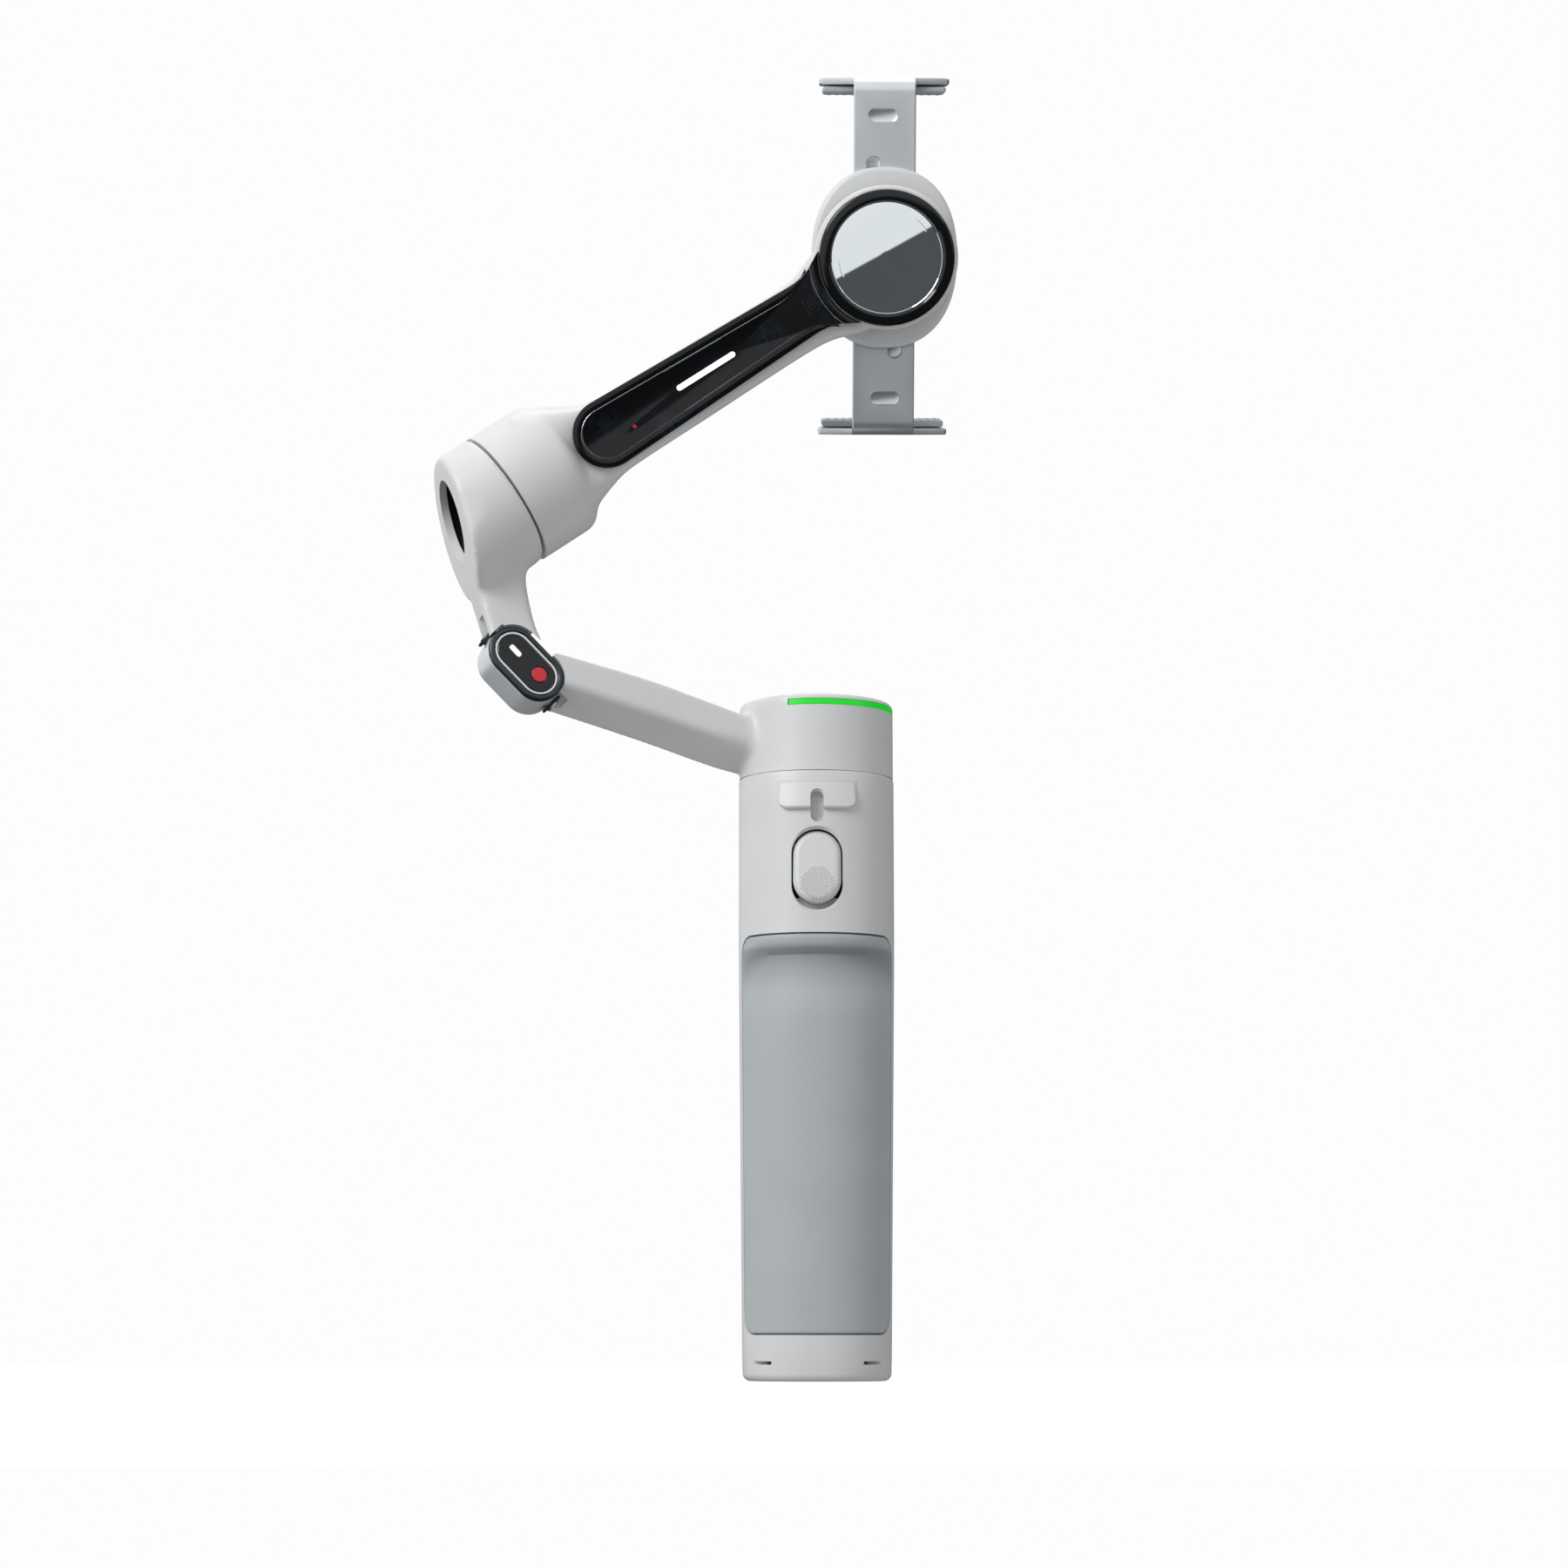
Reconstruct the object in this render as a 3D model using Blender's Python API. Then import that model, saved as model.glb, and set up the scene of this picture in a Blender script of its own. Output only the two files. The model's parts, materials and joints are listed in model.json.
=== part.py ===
"""Three-axis folding phone gimbal: grip handle, pan arm, fold joint, tilt motor, roll motor and clamp.

Origin: centre of the flat base of the handle, on the pan axis. +Z runs up the handle, +Y points
to the user's side (joystick and buttons), -Y to the trigger side. Units are metres.
"""
import math

import bmesh
import bpy
from mathutils import Matrix, Vector

MM = 0.001
GAP = 0.3 * MM

# Handle
HANDLE_HEIGHT = 128.0 * MM
HANDLE_HALF_X = 16.7 * MM
HANDLE_HALF_Y = 17.7 * MM
HANDLE_TAPER = 0.055           # how much narrower the base is than the top
TAPER_START = 90.0 * MM
SECTION_POWER = 2.2             # superellipse exponent of the cross-section
WALL = 2.2 * MM
BASE_ROUND = 1.6 * MM
SHELL_STEPS = 24

# Grip pad on the trigger side
PAD_LOW = 9.9 * MM
PAD_HIGH = 93.2 * MM
PAD_HALF_ANGLE = 72.0
PAD_THICK = 1.5 * MM
PAD_CORNER = 4.5 * MM
RECESS_HIGH = 90.9 * MM
RECESS_LOW = 80.5 * MM
RECESS_DEPTH = 0.8 * MM

# Trigger and tab
TRIGGER_LOW = 98.3 * MM
TRIGGER_HIGH = 115.5 * MM
TRIGGER_HALF = 5.4 * MM
TRIGGER_PIVOT = Vector((0.0, -12.9 * MM, 112.6 * MM))
TAB_LOW = 119.6 * MM
TAB_HIGH = 125.9 * MM
TAB_HALF_ANGLE = 27.0
TAB_SLOT_HALF = 1.4 * MM

# Controls on the user's side
WHEEL_HEIGHT = 104.0 * MM
WHEEL_RADIUS = 10.0 * MM
WHEEL_HOLE = 4.8 * MM
STICK_PIVOT_Y = 13.0 * MM
RECORD_HEIGHT = 86.0 * MM
POWER_HEIGHT = 74.0 * MM
USB_HEIGHT = 57.0 * MM

# Extension rod and base tripod
SLEEVE_LOW = 56.0 * MM
SLEEVE_RADIUS = 9.5 * MM
ROD_WALL = 0.7 * MM
LEG_INNER = 10.0 * MM
LEG_OUTER = 12.9 * MM

# Pan housing
PAN_RADIUS = 16.6 * MM
PAN_LOW = HANDLE_HEIGHT + GAP
PAN_SEAM = 142.1 * MM
PAN_TOP = 144.9 * MM
LIGHT_LOW = 142.5 * MM
LIGHT_HIGH = 143.6 * MM

# Elbow: centre of the block's face, the face's normal, and the block's stadium outline
ELBOW_CENTRE = Vector((-61.1, -26.0, 149.5)) * MM
ELBOW_NORMAL = Vector((0.34, -0.92, 0.17))
BLOCK_TURN = math.radians(-46.0)
BLOCK_REACH = 3.7 * MM          # centre of the block to the centre of each round end
BLOCK_RADIUS = 5.45 * MM
BLOCK_DEPTH = 11.0 * MM
SWIVEL_CLEAR = 8.0 * MM

# Tilt motor: centre of its seam; roll motor: centre of its mirror face
TILT_SEAM = Vector((-66.5, -20.0, 186.0)) * MM
ROLL_FACE = Vector((15.0, -28.1, 237.0)) * MM
ROLL_AXIS = Vector((0.008, -0.958, -0.287))
BALANCE_DEPTH = 25.0 * MM       # where the tilt axis crosses the roll axis, behind the mirror
TILT_RADIUS = 15.05 * MM
RING_LENGTH = 9.7 * MM
CAN_LENGTH = 15.5 * MM

# Head arm, along a line from the roll axis down to the tilt motor, in the roll frame
ARM_TURN = math.radians(31.9)
ARM_END = 69.9 * MM
COVER_END_RADIUS = 7.35 * MM
COVER_NECK_RADIUS = 5.8 * MM
ARM_RISE = 0.22                 # how fast the arm's face comes forward on its way to the tilt motor
ROLL_RING_RADIUS = 14.5 * MM
ROLL_HOUSING_RADIUS = 15.4 * MM
MIRROR_RADIUS = 11.9 * MM
LIGHT_ALONG = 45.4 * MM         # white light bar in the cover
LIGHT_REACH = 6.6 * MM
LIGHT_RADIUS = 0.62 * MM

# Clamp, in the roll frame
CLAMP_HALF_X = 15.8 * MM
CLAMP_HALF_Y = 19.5 * MM
CLAMP_FRONT = -14.1 * MM
CLAMP_BACK = -21.6 * MM
PLATE_HALF = 6.75 * MM
PLATE_FRONT = -17.8 * MM
PLATE_BACK = -19.2 * MM
JAW_OUTER = 38.7 * MM
JAW_INNER = 8.4 * MM            # inner end of a jaw's plate, hidden in the clamp body
LIP_HALF = 14.15 * MM
LIP_BACK = -33.0 * MM
RACK_NEAR = 3.2 * MM
RACK_FAR = 5.4 * MM
RACK_END = 5.0 * MM             # how far each rack runs past the pinion
LANE_END = 16.5 * MM            # end of the slot that lets the other jaw's rack pass


# ---------------------------------------------------------------- helpers

def clear_scene():
    for old in list(bpy.data.objects):
        bpy.data.objects.remove(old, do_unlink=True)


def material(name, colour, roughness, metallic=0.0):
    """A plain Principled material, made once and shared by name."""
    found = bpy.data.materials.get(name)
    if found:
        return found
    made = bpy.data.materials.new(name)
    made.use_nodes = True
    shader = made.node_tree.nodes["Principled BSDF"]
    shader.inputs["Base Color"].default_value = (*colour, 1.0)
    shader.inputs["Roughness"].default_value = roughness
    shader.inputs["Metallic"].default_value = metallic
    return made


def shell_grey():
    return material("shell_grey", (0.60, 0.62, 0.63), 0.45)


def grip_rubber():
    return material("grip_rubber", (0.44, 0.47, 0.48), 0.75)


def satin_aluminium():
    return material("satin_aluminium", (0.62, 0.64, 0.65), 0.35, 1.0)


def steel():
    return material("steel", (0.55, 0.56, 0.57), 0.3, 1.0)


def dark_plastic():
    return material("dark_plastic", (0.03, 0.03, 0.035), 0.4)


def gloss_black():
    return material("gloss_black", (0.006, 0.007, 0.009), 0.08)


def copper():
    return material("copper", (0.55, 0.25, 0.1), 0.4, 1.0)


def board_green():
    return material("board_green", (0.02, 0.15, 0.06), 0.5)


def frame_matrix(origin, toward, up=Vector((0, 0, 1))):
    """A frame at origin whose Z points along toward and whose Y is as near up as it can be."""
    z = Vector(toward).normalized()
    y = (up - z * up.dot(z)).normalized()
    x = y.cross(z)
    turned = Matrix((x, y, z)).transposed().to_4x4()
    return Matrix.Translation(origin) @ turned


def add_empty(name, matrix):
    empty = bpy.data.objects.new(name, None)
    bpy.context.scene.collection.objects.link(empty)
    empty.empty_display_size = 0.01
    empty.matrix_world = matrix
    return empty


def add_object(name, bm, made_of, parent=None, shift=(0, 0, 0), smooth=35.0):
    """Turn a bmesh into a named object, with round stretches shaded smooth."""
    bmesh.ops.remove_doubles(bm, verts=bm.verts, dist=1e-6)
    bmesh.ops.recalc_face_normals(bm, faces=bm.faces)
    mesh = bpy.data.meshes.new(name)
    bm.to_mesh(mesh)
    bm.free()
    mesh.shade_smooth()
    mesh.set_sharp_from_angle(angle=math.radians(smooth))
    mesh.materials.append(made_of)
    made = bpy.data.objects.new(name, mesh)
    bpy.context.scene.collection.objects.link(made)
    if parent:
        made.parent = parent
    made.location = shift
    return made


def as_cutter(made):
    made.hide_render = True
    made.display_type = "WIRE"
    return made


def combine(target, other, operation):
    step = target.modifiers.new(other.name, "BOOLEAN")
    step.operation = operation
    step.solver = "EXACT"
    step.object = other
    return as_cutter(other)


def loft(loops, closed=False):
    """Skin a list of equal point loops; open ends get caps, or the last loop joins the first."""
    bm = bmesh.new()
    rows = [[bm.verts.new(point) for point in loop] for loop in loops]
    pairs = list(zip(rows, rows[1:]))
    if closed:
        pairs.append((rows[-1], rows[0]))
    count = len(rows[0])
    for low, high in pairs:
        for i in range(count):
            j = (i + 1) % count
            bm.faces.new((low[i], low[j], high[j], high[i]))
    if not closed:
        bm.faces.new(rows[0][::-1])
        bm.faces.new(rows[-1])
    return bm


def turned(profile, steps=32, hollow=False):
    """Turn a list of (radius, height) about Z. A hollow profile is a closed outline off the axis."""
    loops = []
    for radius, height in profile:
        angles = [2 * math.pi * i / steps for i in range(steps)]
        loops.append([(radius * math.cos(a), radius * math.sin(a), height) for a in angles])
    return loft(loops, closed=hollow)


def tube(outer, inner, low, high, steps=28):
    return turned([(outer, low), (outer, high), (inner, high), (inner, low)], steps, hollow=True)


def disc(radius, low, high, edge=0.0, steps=32):
    """A round plate whose high rim is rounded by edge."""
    profile = [(radius, low)]
    for i in range(4 if edge else 0):
        angle = math.radians(30 * i)
        profile.append((radius - edge + edge * math.cos(angle), high - edge + edge * math.sin(angle)))
    if not edge:
        profile.append((radius, high))
    return turned(profile, steps)


def prism(outline, low, high, edge=0.0):
    """Raise a flat outline from low to high; edge shrinks the high rim a little towards its centre."""
    loops = [[(x, y, low) for x, y in outline]]
    if edge:
        centre = Vector((sum(p[0] for p in outline), sum(p[1] for p in outline))) / len(outline)
        loops.append([(x, y, high - edge) for x, y in outline])
        top = []
        for x, y in outline:
            inward = (centre - Vector((x, y))).normalized() * edge
            top.append((x + inward.x, y + inward.y, high))
        loops.append(top)
    else:
        loops.append([(x, y, high) for x, y in outline])
    return loft(loops)


def box(low, high):
    x0, y0, z0 = low
    x1, y1, z1 = high
    return prism([(x0, y0), (x1, y0), (x1, y1), (x0, y1)], z0, z1)


def stadium(reach, radius, turn=0.0, centre=(0.0, 0.0), steps=10):
    """Outline of a bar with round ends, its long axis turned by turn."""
    points = []
    for side in (1, -1):
        for i in range(steps + 1):
            angle = -math.pi / 2 + math.pi * i / steps
            x = side * (reach + radius * math.cos(angle))
            y = side * radius * math.sin(angle)
            points.append((
                centre[0] + x * math.cos(turn) - y * math.sin(turn),
                centre[1] + x * math.sin(turn) + y * math.cos(turn),
            ))
    return points


def oval(half_x, half_y, steps=48, power=2.3):
    points = []
    for i in range(steps):
        angle = 2 * math.pi * i / steps
        c, s = math.cos(angle), math.sin(angle)
        points.append((
            math.copysign(half_x * abs(c) ** (2 / power), c),
            math.copysign(half_y * abs(s) ** (2 / power), s),
        ))
    return points


# ---------------------------------------------------------------- handle surface

def handle_scale(z):
    if z >= TAPER_START:
        return 1.0
    return 1.0 - HANDLE_TAPER * (TAPER_START - z) / TAPER_START


def handle_point(angle, z, inset=0.0):
    """A point of the handle's skin at an angle about Z (degrees), moved inwards by inset."""
    scale = handle_scale(z)
    half_x = HANDLE_HALF_X * scale - inset
    half_y = HANDLE_HALF_Y * scale - inset
    c, s = math.cos(math.radians(angle)), math.sin(math.radians(angle))
    x = math.copysign(half_x * abs(c) ** (2 / SECTION_POWER), c)
    y = math.copysign(half_y * abs(s) ** (2 / SECTION_POWER), s)
    return Vector((x, y, z))


def shell_levels():
    """Heights of the shell's sections, each with how far the skin is drawn in there."""
    levels = []
    for i in range(4):
        angle = math.radians(30 * i)
        levels.append((BASE_ROUND * (1 - math.cos(angle)), BASE_ROUND * (1 - math.sin(angle))))
    levels += [(TAPER_START / 2, 0.0), (TAPER_START, 0.0), (HANDLE_HEIGHT - 0.4 * MM, 0.0)]
    levels.append((HANDLE_HEIGHT, 0.4 * MM))
    return levels


def half_shell(name, side):
    """One half of the handle's casing, split down both sides."""
    loops = []
    for z, inset in shell_levels():
        loop = []
        for i in range(SHELL_STEPS + 1):
            loop.append(handle_point(side * 180.0 * i / SHELL_STEPS, z, inset))
        for i in range(SHELL_STEPS, -1, -1):
            loop.append(handle_point(side * 180.0 * i / SHELL_STEPS, z, WALL))
        for point in loop:
            point.y += side * GAP / 2
        loops.append(loop)
    return add_object(name, loft(loops), shell_grey())


def skin_panel(low, high, half_angle, corner, outer, inner, columns=24, rows=12, dip=None, soft_top=True):
    """A curved plate that follows the front skin, with rounded corners and an optional dip."""
    bm = bmesh.new()
    faces = []
    for depth, dipped in ((outer, dip), (inner, None)):
        grid = []
        for i in range(columns + 1):
            u = 2 * i / columns - 1
            side = abs(u) * math.radians(half_angle) * HANDLE_HALF_X
            flat = math.radians(half_angle) * HANDLE_HALF_X - corner
            past = max(0.0, side - flat)
            drop = corner - math.sqrt(max(0.0, corner * corner - past * past))
            top = high - (drop if soft_top else 0.0)
            bottom = low + drop
            column = []
            for j in range(rows + 1):
                z = bottom + (top - bottom) * (j / rows)
                inset = depth + (dipped(z) if dipped else 0.0)
                column.append(bm.verts.new(handle_point(-90 + u * half_angle, z, inset)))
            grid.append(column)
        faces.append(grid)
    front, back = faces
    for i in range(columns):
        for j in range(rows):
            bm.faces.new((front[i][j], front[i + 1][j], front[i + 1][j + 1], front[i][j + 1]))
            bm.faces.new((back[i][j], back[i][j + 1], back[i + 1][j + 1], back[i + 1][j]))
        bm.faces.new((front[i][0], back[i][0], back[i + 1][0], front[i + 1][0]))
        bm.faces.new((front[i][rows], front[i + 1][rows], back[i + 1][rows], back[i][rows]))
    for j in range(rows):
        bm.faces.new((front[0][j], front[0][j + 1], back[0][j + 1], back[0][j]))
        bm.faces.new((front[-1][j], back[-1][j], back[-1][j + 1], front[-1][j + 1]))
    return bm


def finger_dip(z):
    """Depth of the forefinger's hollow, deepest at its upper lip and fading out below."""
    if z > RECESS_HIGH or z < RECESS_LOW:
        return 0.0
    share = (z - RECESS_LOW) / (RECESS_HIGH - RECESS_LOW)
    return RECESS_DEPTH * share * share


# ---------------------------------------------------------------- handle pieces

def front_bar(outline, front, back):
    """A prism that stands on the XZ plane: the outline's second coordinate is the height."""
    bm = prism(outline, -back, -front)
    bmesh.ops.rotate(bm, verts=bm.verts, cent=(0, 0, 0), matrix=Matrix.Rotation(math.pi / 2, 3, "X"))
    return bm


def make_shells():
    front = half_shell("front_shell", -1)
    back = half_shell("back_shell", 1)
    middle = (TRIGGER_LOW + TRIGGER_HIGH) / 2
    reach = (TRIGGER_HIGH - TRIGGER_LOW) / 2 - TRIGGER_HALF
    opening = front_bar(stadium(reach, TRIGGER_HALF, math.pi / 2, (0, middle)), -22 * MM, -12 * MM)
    combine(front, add_object("trigger_opening", opening, dark_plastic()), "DIFFERENCE")
    recess = skin_panel(
        PAD_LOW - GAP, PAD_HIGH + GAP, PAD_HALF_ANGLE + 1.0, PAD_CORNER, -2 * MM, PAD_THICK + GAP / 2, 16, 5)
    combine(front, add_object("pad_recess", recess, dark_plastic()), "DIFFERENCE")
    wheel = disc(WHEEL_RADIUS + GAP, 12 * MM, 22 * MM)
    stand_on_back(wheel, WHEEL_HEIGHT)
    combine(back, add_object("wheel_opening", wheel, dark_plastic()), "DIFFERENCE")
    record = disc(3.5 * MM + GAP, 12 * MM, 22 * MM, steps=24)
    stand_on_back(record, RECORD_HEIGHT)
    combine(back, add_object("record_opening", record, dark_plastic()), "DIFFERENCE")
    power = prism(stadium(2.6 * MM, 2.2 * MM + GAP), 12 * MM, 22 * MM)
    stand_on_back(power, POWER_HEIGHT)
    combine(back, add_object("power_opening", power, dark_plastic()), "DIFFERENCE")
    usb = prism(stadium(3.2 * MM, 1.7 * MM + GAP), 12 * MM, 22 * MM)
    stand_on_back(usb, USB_HEIGHT)
    combine(back, add_object("usb_opening", usb, dark_plastic()), "DIFFERENCE")


def stand_on_back(bm, height):
    """Turn a shape built along +Z so that it looks out of the user's side at a height."""
    bmesh.ops.rotate(bm, verts=bm.verts, cent=(0, 0, 0), matrix=Matrix.Rotation(-math.pi / 2, 3, "X"))
    bmesh.ops.translate(bm, verts=bm.verts, vec=(0, 0, height))


def make_grip():
    pad = skin_panel(PAD_LOW, PAD_HIGH, PAD_HALF_ANGLE, PAD_CORNER, 0.0, PAD_THICK, 16, 20, finger_dip)
    add_object("grip_pad", pad, grip_rubber())
    tab = skin_panel(TAB_LOW, TAB_HIGH, TAB_HALF_ANGLE, 2.6 * MM, -0.9 * MM, -GAP, 16, 4, soft_top=False)
    tab = add_object("front_tab", tab, shell_grey())
    slot = box((-TAB_SLOT_HALF, -25 * MM, TAB_LOW - 2 * MM), (TAB_SLOT_HALF, -10 * MM, TAB_HIGH - 2.0 * MM))
    combine(tab, add_object("tab_slot", slot, dark_plastic()), "DIFFERENCE")


def make_trigger(pivot):
    """The rocker trigger: flush at its top, proud at its foot, hung on a cross pin."""
    half = TRIGGER_HALF - GAP
    low = TRIGGER_LOW + 1.3 * MM
    high = TRIGGER_HIGH - GAP
    outline = stadium((high - low) / 2 - half, half, math.pi / 2, (0, (low + high) / 2))
    loops = []
    for depth, shrink in ((-11.4 * MM, 1.0), (-16.2 * MM, 1.0), (-17.0 * MM, 0.93)):
        loop = []
        for x, z in outline:
            proud = 1.9 * MM * (high - z) / (high - low) if depth < -13 * MM else 0.0
            middle = (low + high) / 2
            loop.append((x * shrink, depth - proud, middle + (z - middle) * shrink))
        loops.append(loop)
    trigger = add_object("trigger", loft(loops), shell_grey(), pivot, -TRIGGER_PIVOT)
    bore = turned([(1.1 * MM, -9 * MM), (1.1 * MM, 9 * MM)], 20)
    bmesh.ops.rotate(bore, verts=bore.verts, cent=(0, 0, 0), matrix=Matrix.Rotation(math.pi / 2, 3, "Y"))
    combine(trigger, add_object("trigger_bore", bore, steel(), pivot), "DIFFERENCE")
    pin = turned([(0.8 * MM, -6.3 * MM), (0.8 * MM, 6.3 * MM)], 16)
    bmesh.ops.rotate(pin, verts=pin.verts, cent=(0, 0, 0), matrix=Matrix.Rotation(math.pi / 2, 3, "Y"))
    bmesh.ops.translate(pin, verts=pin.verts, vec=TRIGGER_PIVOT)
    add_object("trigger_pin", pin, steel())


def make_controls():
    ring = tube(WHEEL_RADIUS, WHEEL_HOLE, 14.6 * MM, 18.4 * MM)
    stand_on_back(ring, WHEEL_HEIGHT)
    add_object("wheel_panel", ring, dark_plastic())
    pivot = add_empty("stick_pivot", Matrix.Translation((0, STICK_PIVOT_Y, WHEEL_HEIGHT)))
    profile = [(1.6, 1.1), (1.6, 5.4), (3.2, 6.2), (3.7, 7.0), (3.7, 7.9), (3.2, 8.5), (1.8, 8.1)]
    stick = turned([(r * MM, z * MM) for r, z in profile], 28)
    bmesh.ops.rotate(stick, verts=stick.verts, cent=(0, 0, 0), matrix=Matrix.Rotation(-math.pi / 2, 3, "X"))
    add_object("joystick", stick, dark_plastic(), pivot)
    yoke = box((-3.2 * MM, -1.0 * MM, -3.2 * MM), (3.2 * MM, 0.6 * MM, 3.2 * MM))
    add_object("joystick_yoke", yoke, steel(), pivot)
    record = disc(3.5 * MM, 14.4 * MM, 18.6 * MM, 0.5 * MM, 28)
    stand_on_back(record, RECORD_HEIGHT)
    add_object("record_button", record, material("record_red", (0.6, 0.02, 0.03), 0.4))
    power = prism(stadium(2.6 * MM, 2.2 * MM), 14.4 * MM, 18.4 * MM, 0.3 * MM)
    stand_on_back(power, POWER_HEIGHT)
    add_object("power_button", power, shell_grey())
    socket = prism(stadium(3.2 * MM, 1.7 * MM), 10.2 * MM, 16.6 * MM)
    stand_on_back(socket, USB_HEIGHT)
    socket = add_object("usb_socket", socket, steel())
    mouth = prism(stadium(3.0 * MM, 1.3 * MM), 11.0 * MM, 18.0 * MM)
    stand_on_back(mouth, USB_HEIGHT)
    combine(socket, add_object("usb_mouth", mouth, steel()), "DIFFERENCE")


def make_inside():
    """Extension rod, battery and main board inside the handle."""
    add_object("rod_sleeve", tube(SLEEVE_RADIUS, SLEEVE_RADIUS - ROD_WALL, SLEEVE_LOW, 120 * MM), steel())
    collar = tube(13.4 * MM, SLEEVE_RADIUS - ROD_WALL, 120.4 * MM, 125.5 * MM)
    add_object("rod_collar", collar, dark_plastic())
    for number in (1, 2, 3):
        outer = SLEEVE_RADIUS - number * (ROD_WALL + GAP)
        low = SLEEVE_LOW + number * 1.2 * MM
        high = 125.0 * MM + number * 0.7 * MM
        name = "rod_stage_" + str(number)
        add_object(name, tube(outer, outer - ROD_WALL, low, high), satin_aluminium())
    cell = disc(9.0 * MM, 7.5 * MM, 53 * MM, 0.6 * MM)
    add_object("battery", cell, material("cell_blue", (0.05, 0.12, 0.3), 0.5))
    board = box((-7 * MM, 10.2 * MM, 62 * MM), (7 * MM, 11.3 * MM, 118 * MM))
    add_object("main_board", board, board_green())


def leg_outline(middle, spread, steps=12):
    points = []
    for i in range(steps + 1):
        angle = math.radians(middle - spread / 2 + spread * i / steps)
        points.append((LEG_OUTER * math.cos(angle), LEG_OUTER * math.sin(angle)))
    for i in range(steps, -1, -1):
        angle = math.radians(middle - spread / 2 + spread * i / steps)
        points.append((LEG_INNER * math.cos(angle), LEG_INNER * math.sin(angle)))
    return points


def make_tripod():
    """Base plug and its three stowed legs, which pull down out of the handle together."""
    hub = disc(13.0 * MM, -4.9 * MM, 0.0, 0.5 * MM)
    bmesh.ops.rotate(hub, verts=hub.verts, cent=(0, 0, 0), matrix=Matrix.Rotation(math.pi, 3, "X"))
    hub = add_object("tripod_hub", hub, shell_grey())
    thread = turned([(3.2 * MM, -1 * MM), (3.2 * MM, 4.0 * MM)], 24)
    combine(hub, add_object("thread_bore", thread, steel()), "DIFFERENCE")
    insert = tube(2.9 * MM, 2.4 * MM, 0.2 * MM, 3.7 * MM, 24)
    add_object("thread_insert", insert, material("brass", (0.6, 0.45, 0.2), 0.35, 1.0))
    for number in (1, 2, 3):
        leg = prism(leg_outline(90 + 120 * number, 108), 5.3 * MM, 51 * MM)
        add_object("tripod_leg_" + str(number), leg, satin_aluminium())


# ---------------------------------------------------------------- pan motor and arm

def make_pan(pan, elbow_parent, elbow_shift):
    stator = turned([
        (4.9 * MM, 126.9 * MM), (4.9 * MM, 129.2 * MM), (12.0 * MM, 129.4 * MM), (12.0 * MM, 138.4 * MM),
        (2.4 * MM, 138.4 * MM), (2.4 * MM, 126.9 * MM)], 40, hollow=True)
    add_object("pan_stator", stator, copper())
    add_object("pan_rotor", tube(14.1 * MM, 12.4 * MM, 129.4 * MM, 139.6 * MM), steel(), pan)
    add_object("pan_shaft", turned([(2.0 * MM, 128.0 * MM), (2.0 * MM, 141.5 * MM)], 24), steel(), pan)
    profile = [
        (PAN_RADIUS - 0.4 * MM, PAN_LOW), (PAN_RADIUS, PAN_LOW + 0.4 * MM), (PAN_RADIUS, PAN_SEAM),
        (2.3 * MM, PAN_SEAM), (2.3 * MM, 140.0 * MM), (14.4 * MM, 140.0 * MM), (14.4 * MM, PAN_LOW)]
    housing = add_object("pan_housing", turned(profile, 40, hollow=True), shell_grey(), pan)
    arm = add_object("pan_arm_core", pan_arm_mesh(), shell_grey(), elbow_parent, elbow_shift)
    combine(housing, arm, "UNION")
    room = turned([(14.4 * MM, PAN_LOW - 2 * MM), (14.4 * MM, 140.0 * MM)], 40)
    combine(housing, add_object("pan_room", room, steel(), pan), "DIFFERENCE")
    block = prism(stadium(BLOCK_REACH, BLOCK_RADIUS + GAP, BLOCK_TURN), -14 * MM, 4 * MM)
    combine(housing, add_object("block_room", block, steel(), elbow_parent, elbow_shift), "DIFFERENCE")
    mitre = mitre_box(-40 * MM, 2.6 * MM)
    combine(housing, add_object("pan_mitre", mitre, steel(), elbow_parent, elbow_shift), "DIFFERENCE")
    room = along_fold(turned([(3.2 * MM, 2 * MM), (3.2 * MM, 11.4 * MM)], 24))
    combine(housing, add_object("lower_gasket_room", room, steel(), elbow_parent, elbow_shift), "DIFFERENCE")
    cap = [
        (PAN_RADIUS, LIGHT_LOW - 0.1 * MM), (PAN_RADIUS, PAN_TOP - 1.6 * MM),
        (PAN_RADIUS - 0.25 * MM, PAN_TOP - 0.8 * MM), (PAN_RADIUS - 0.8 * MM, PAN_TOP - 0.25 * MM),
        (PAN_RADIUS - 1.6 * MM, PAN_TOP)]
    cap = add_object("pan_cap", turned(cap, 40), shell_grey(), pan)
    groove = sector_ring(15.2 * MM, 18 * MM, 141 * MM, LIGHT_HIGH + 0.2 * MM, -113, 24)
    combine(cap, add_object("light_groove", groove, steel(), pan), "DIFFERENCE")
    bar = sector_ring(15.5 * MM, PAN_RADIUS, LIGHT_LOW, LIGHT_HIGH, -111, 22)
    add_object("light_bar", bar, material("light_green", (0.0, 0.7, 0.02), 0.3), pan)


def sector_ring(inner, outer, low, high, start, end, steps=32):
    points = []
    for radius, order in ((outer, range(steps + 1)), (inner, range(steps, -1, -1))):
        for i in order:
            angle = math.radians(start + (end - start) * i / steps)
            points.append((radius * math.cos(angle), radius * math.sin(angle)))
    return prism(points, low, high)


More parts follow.
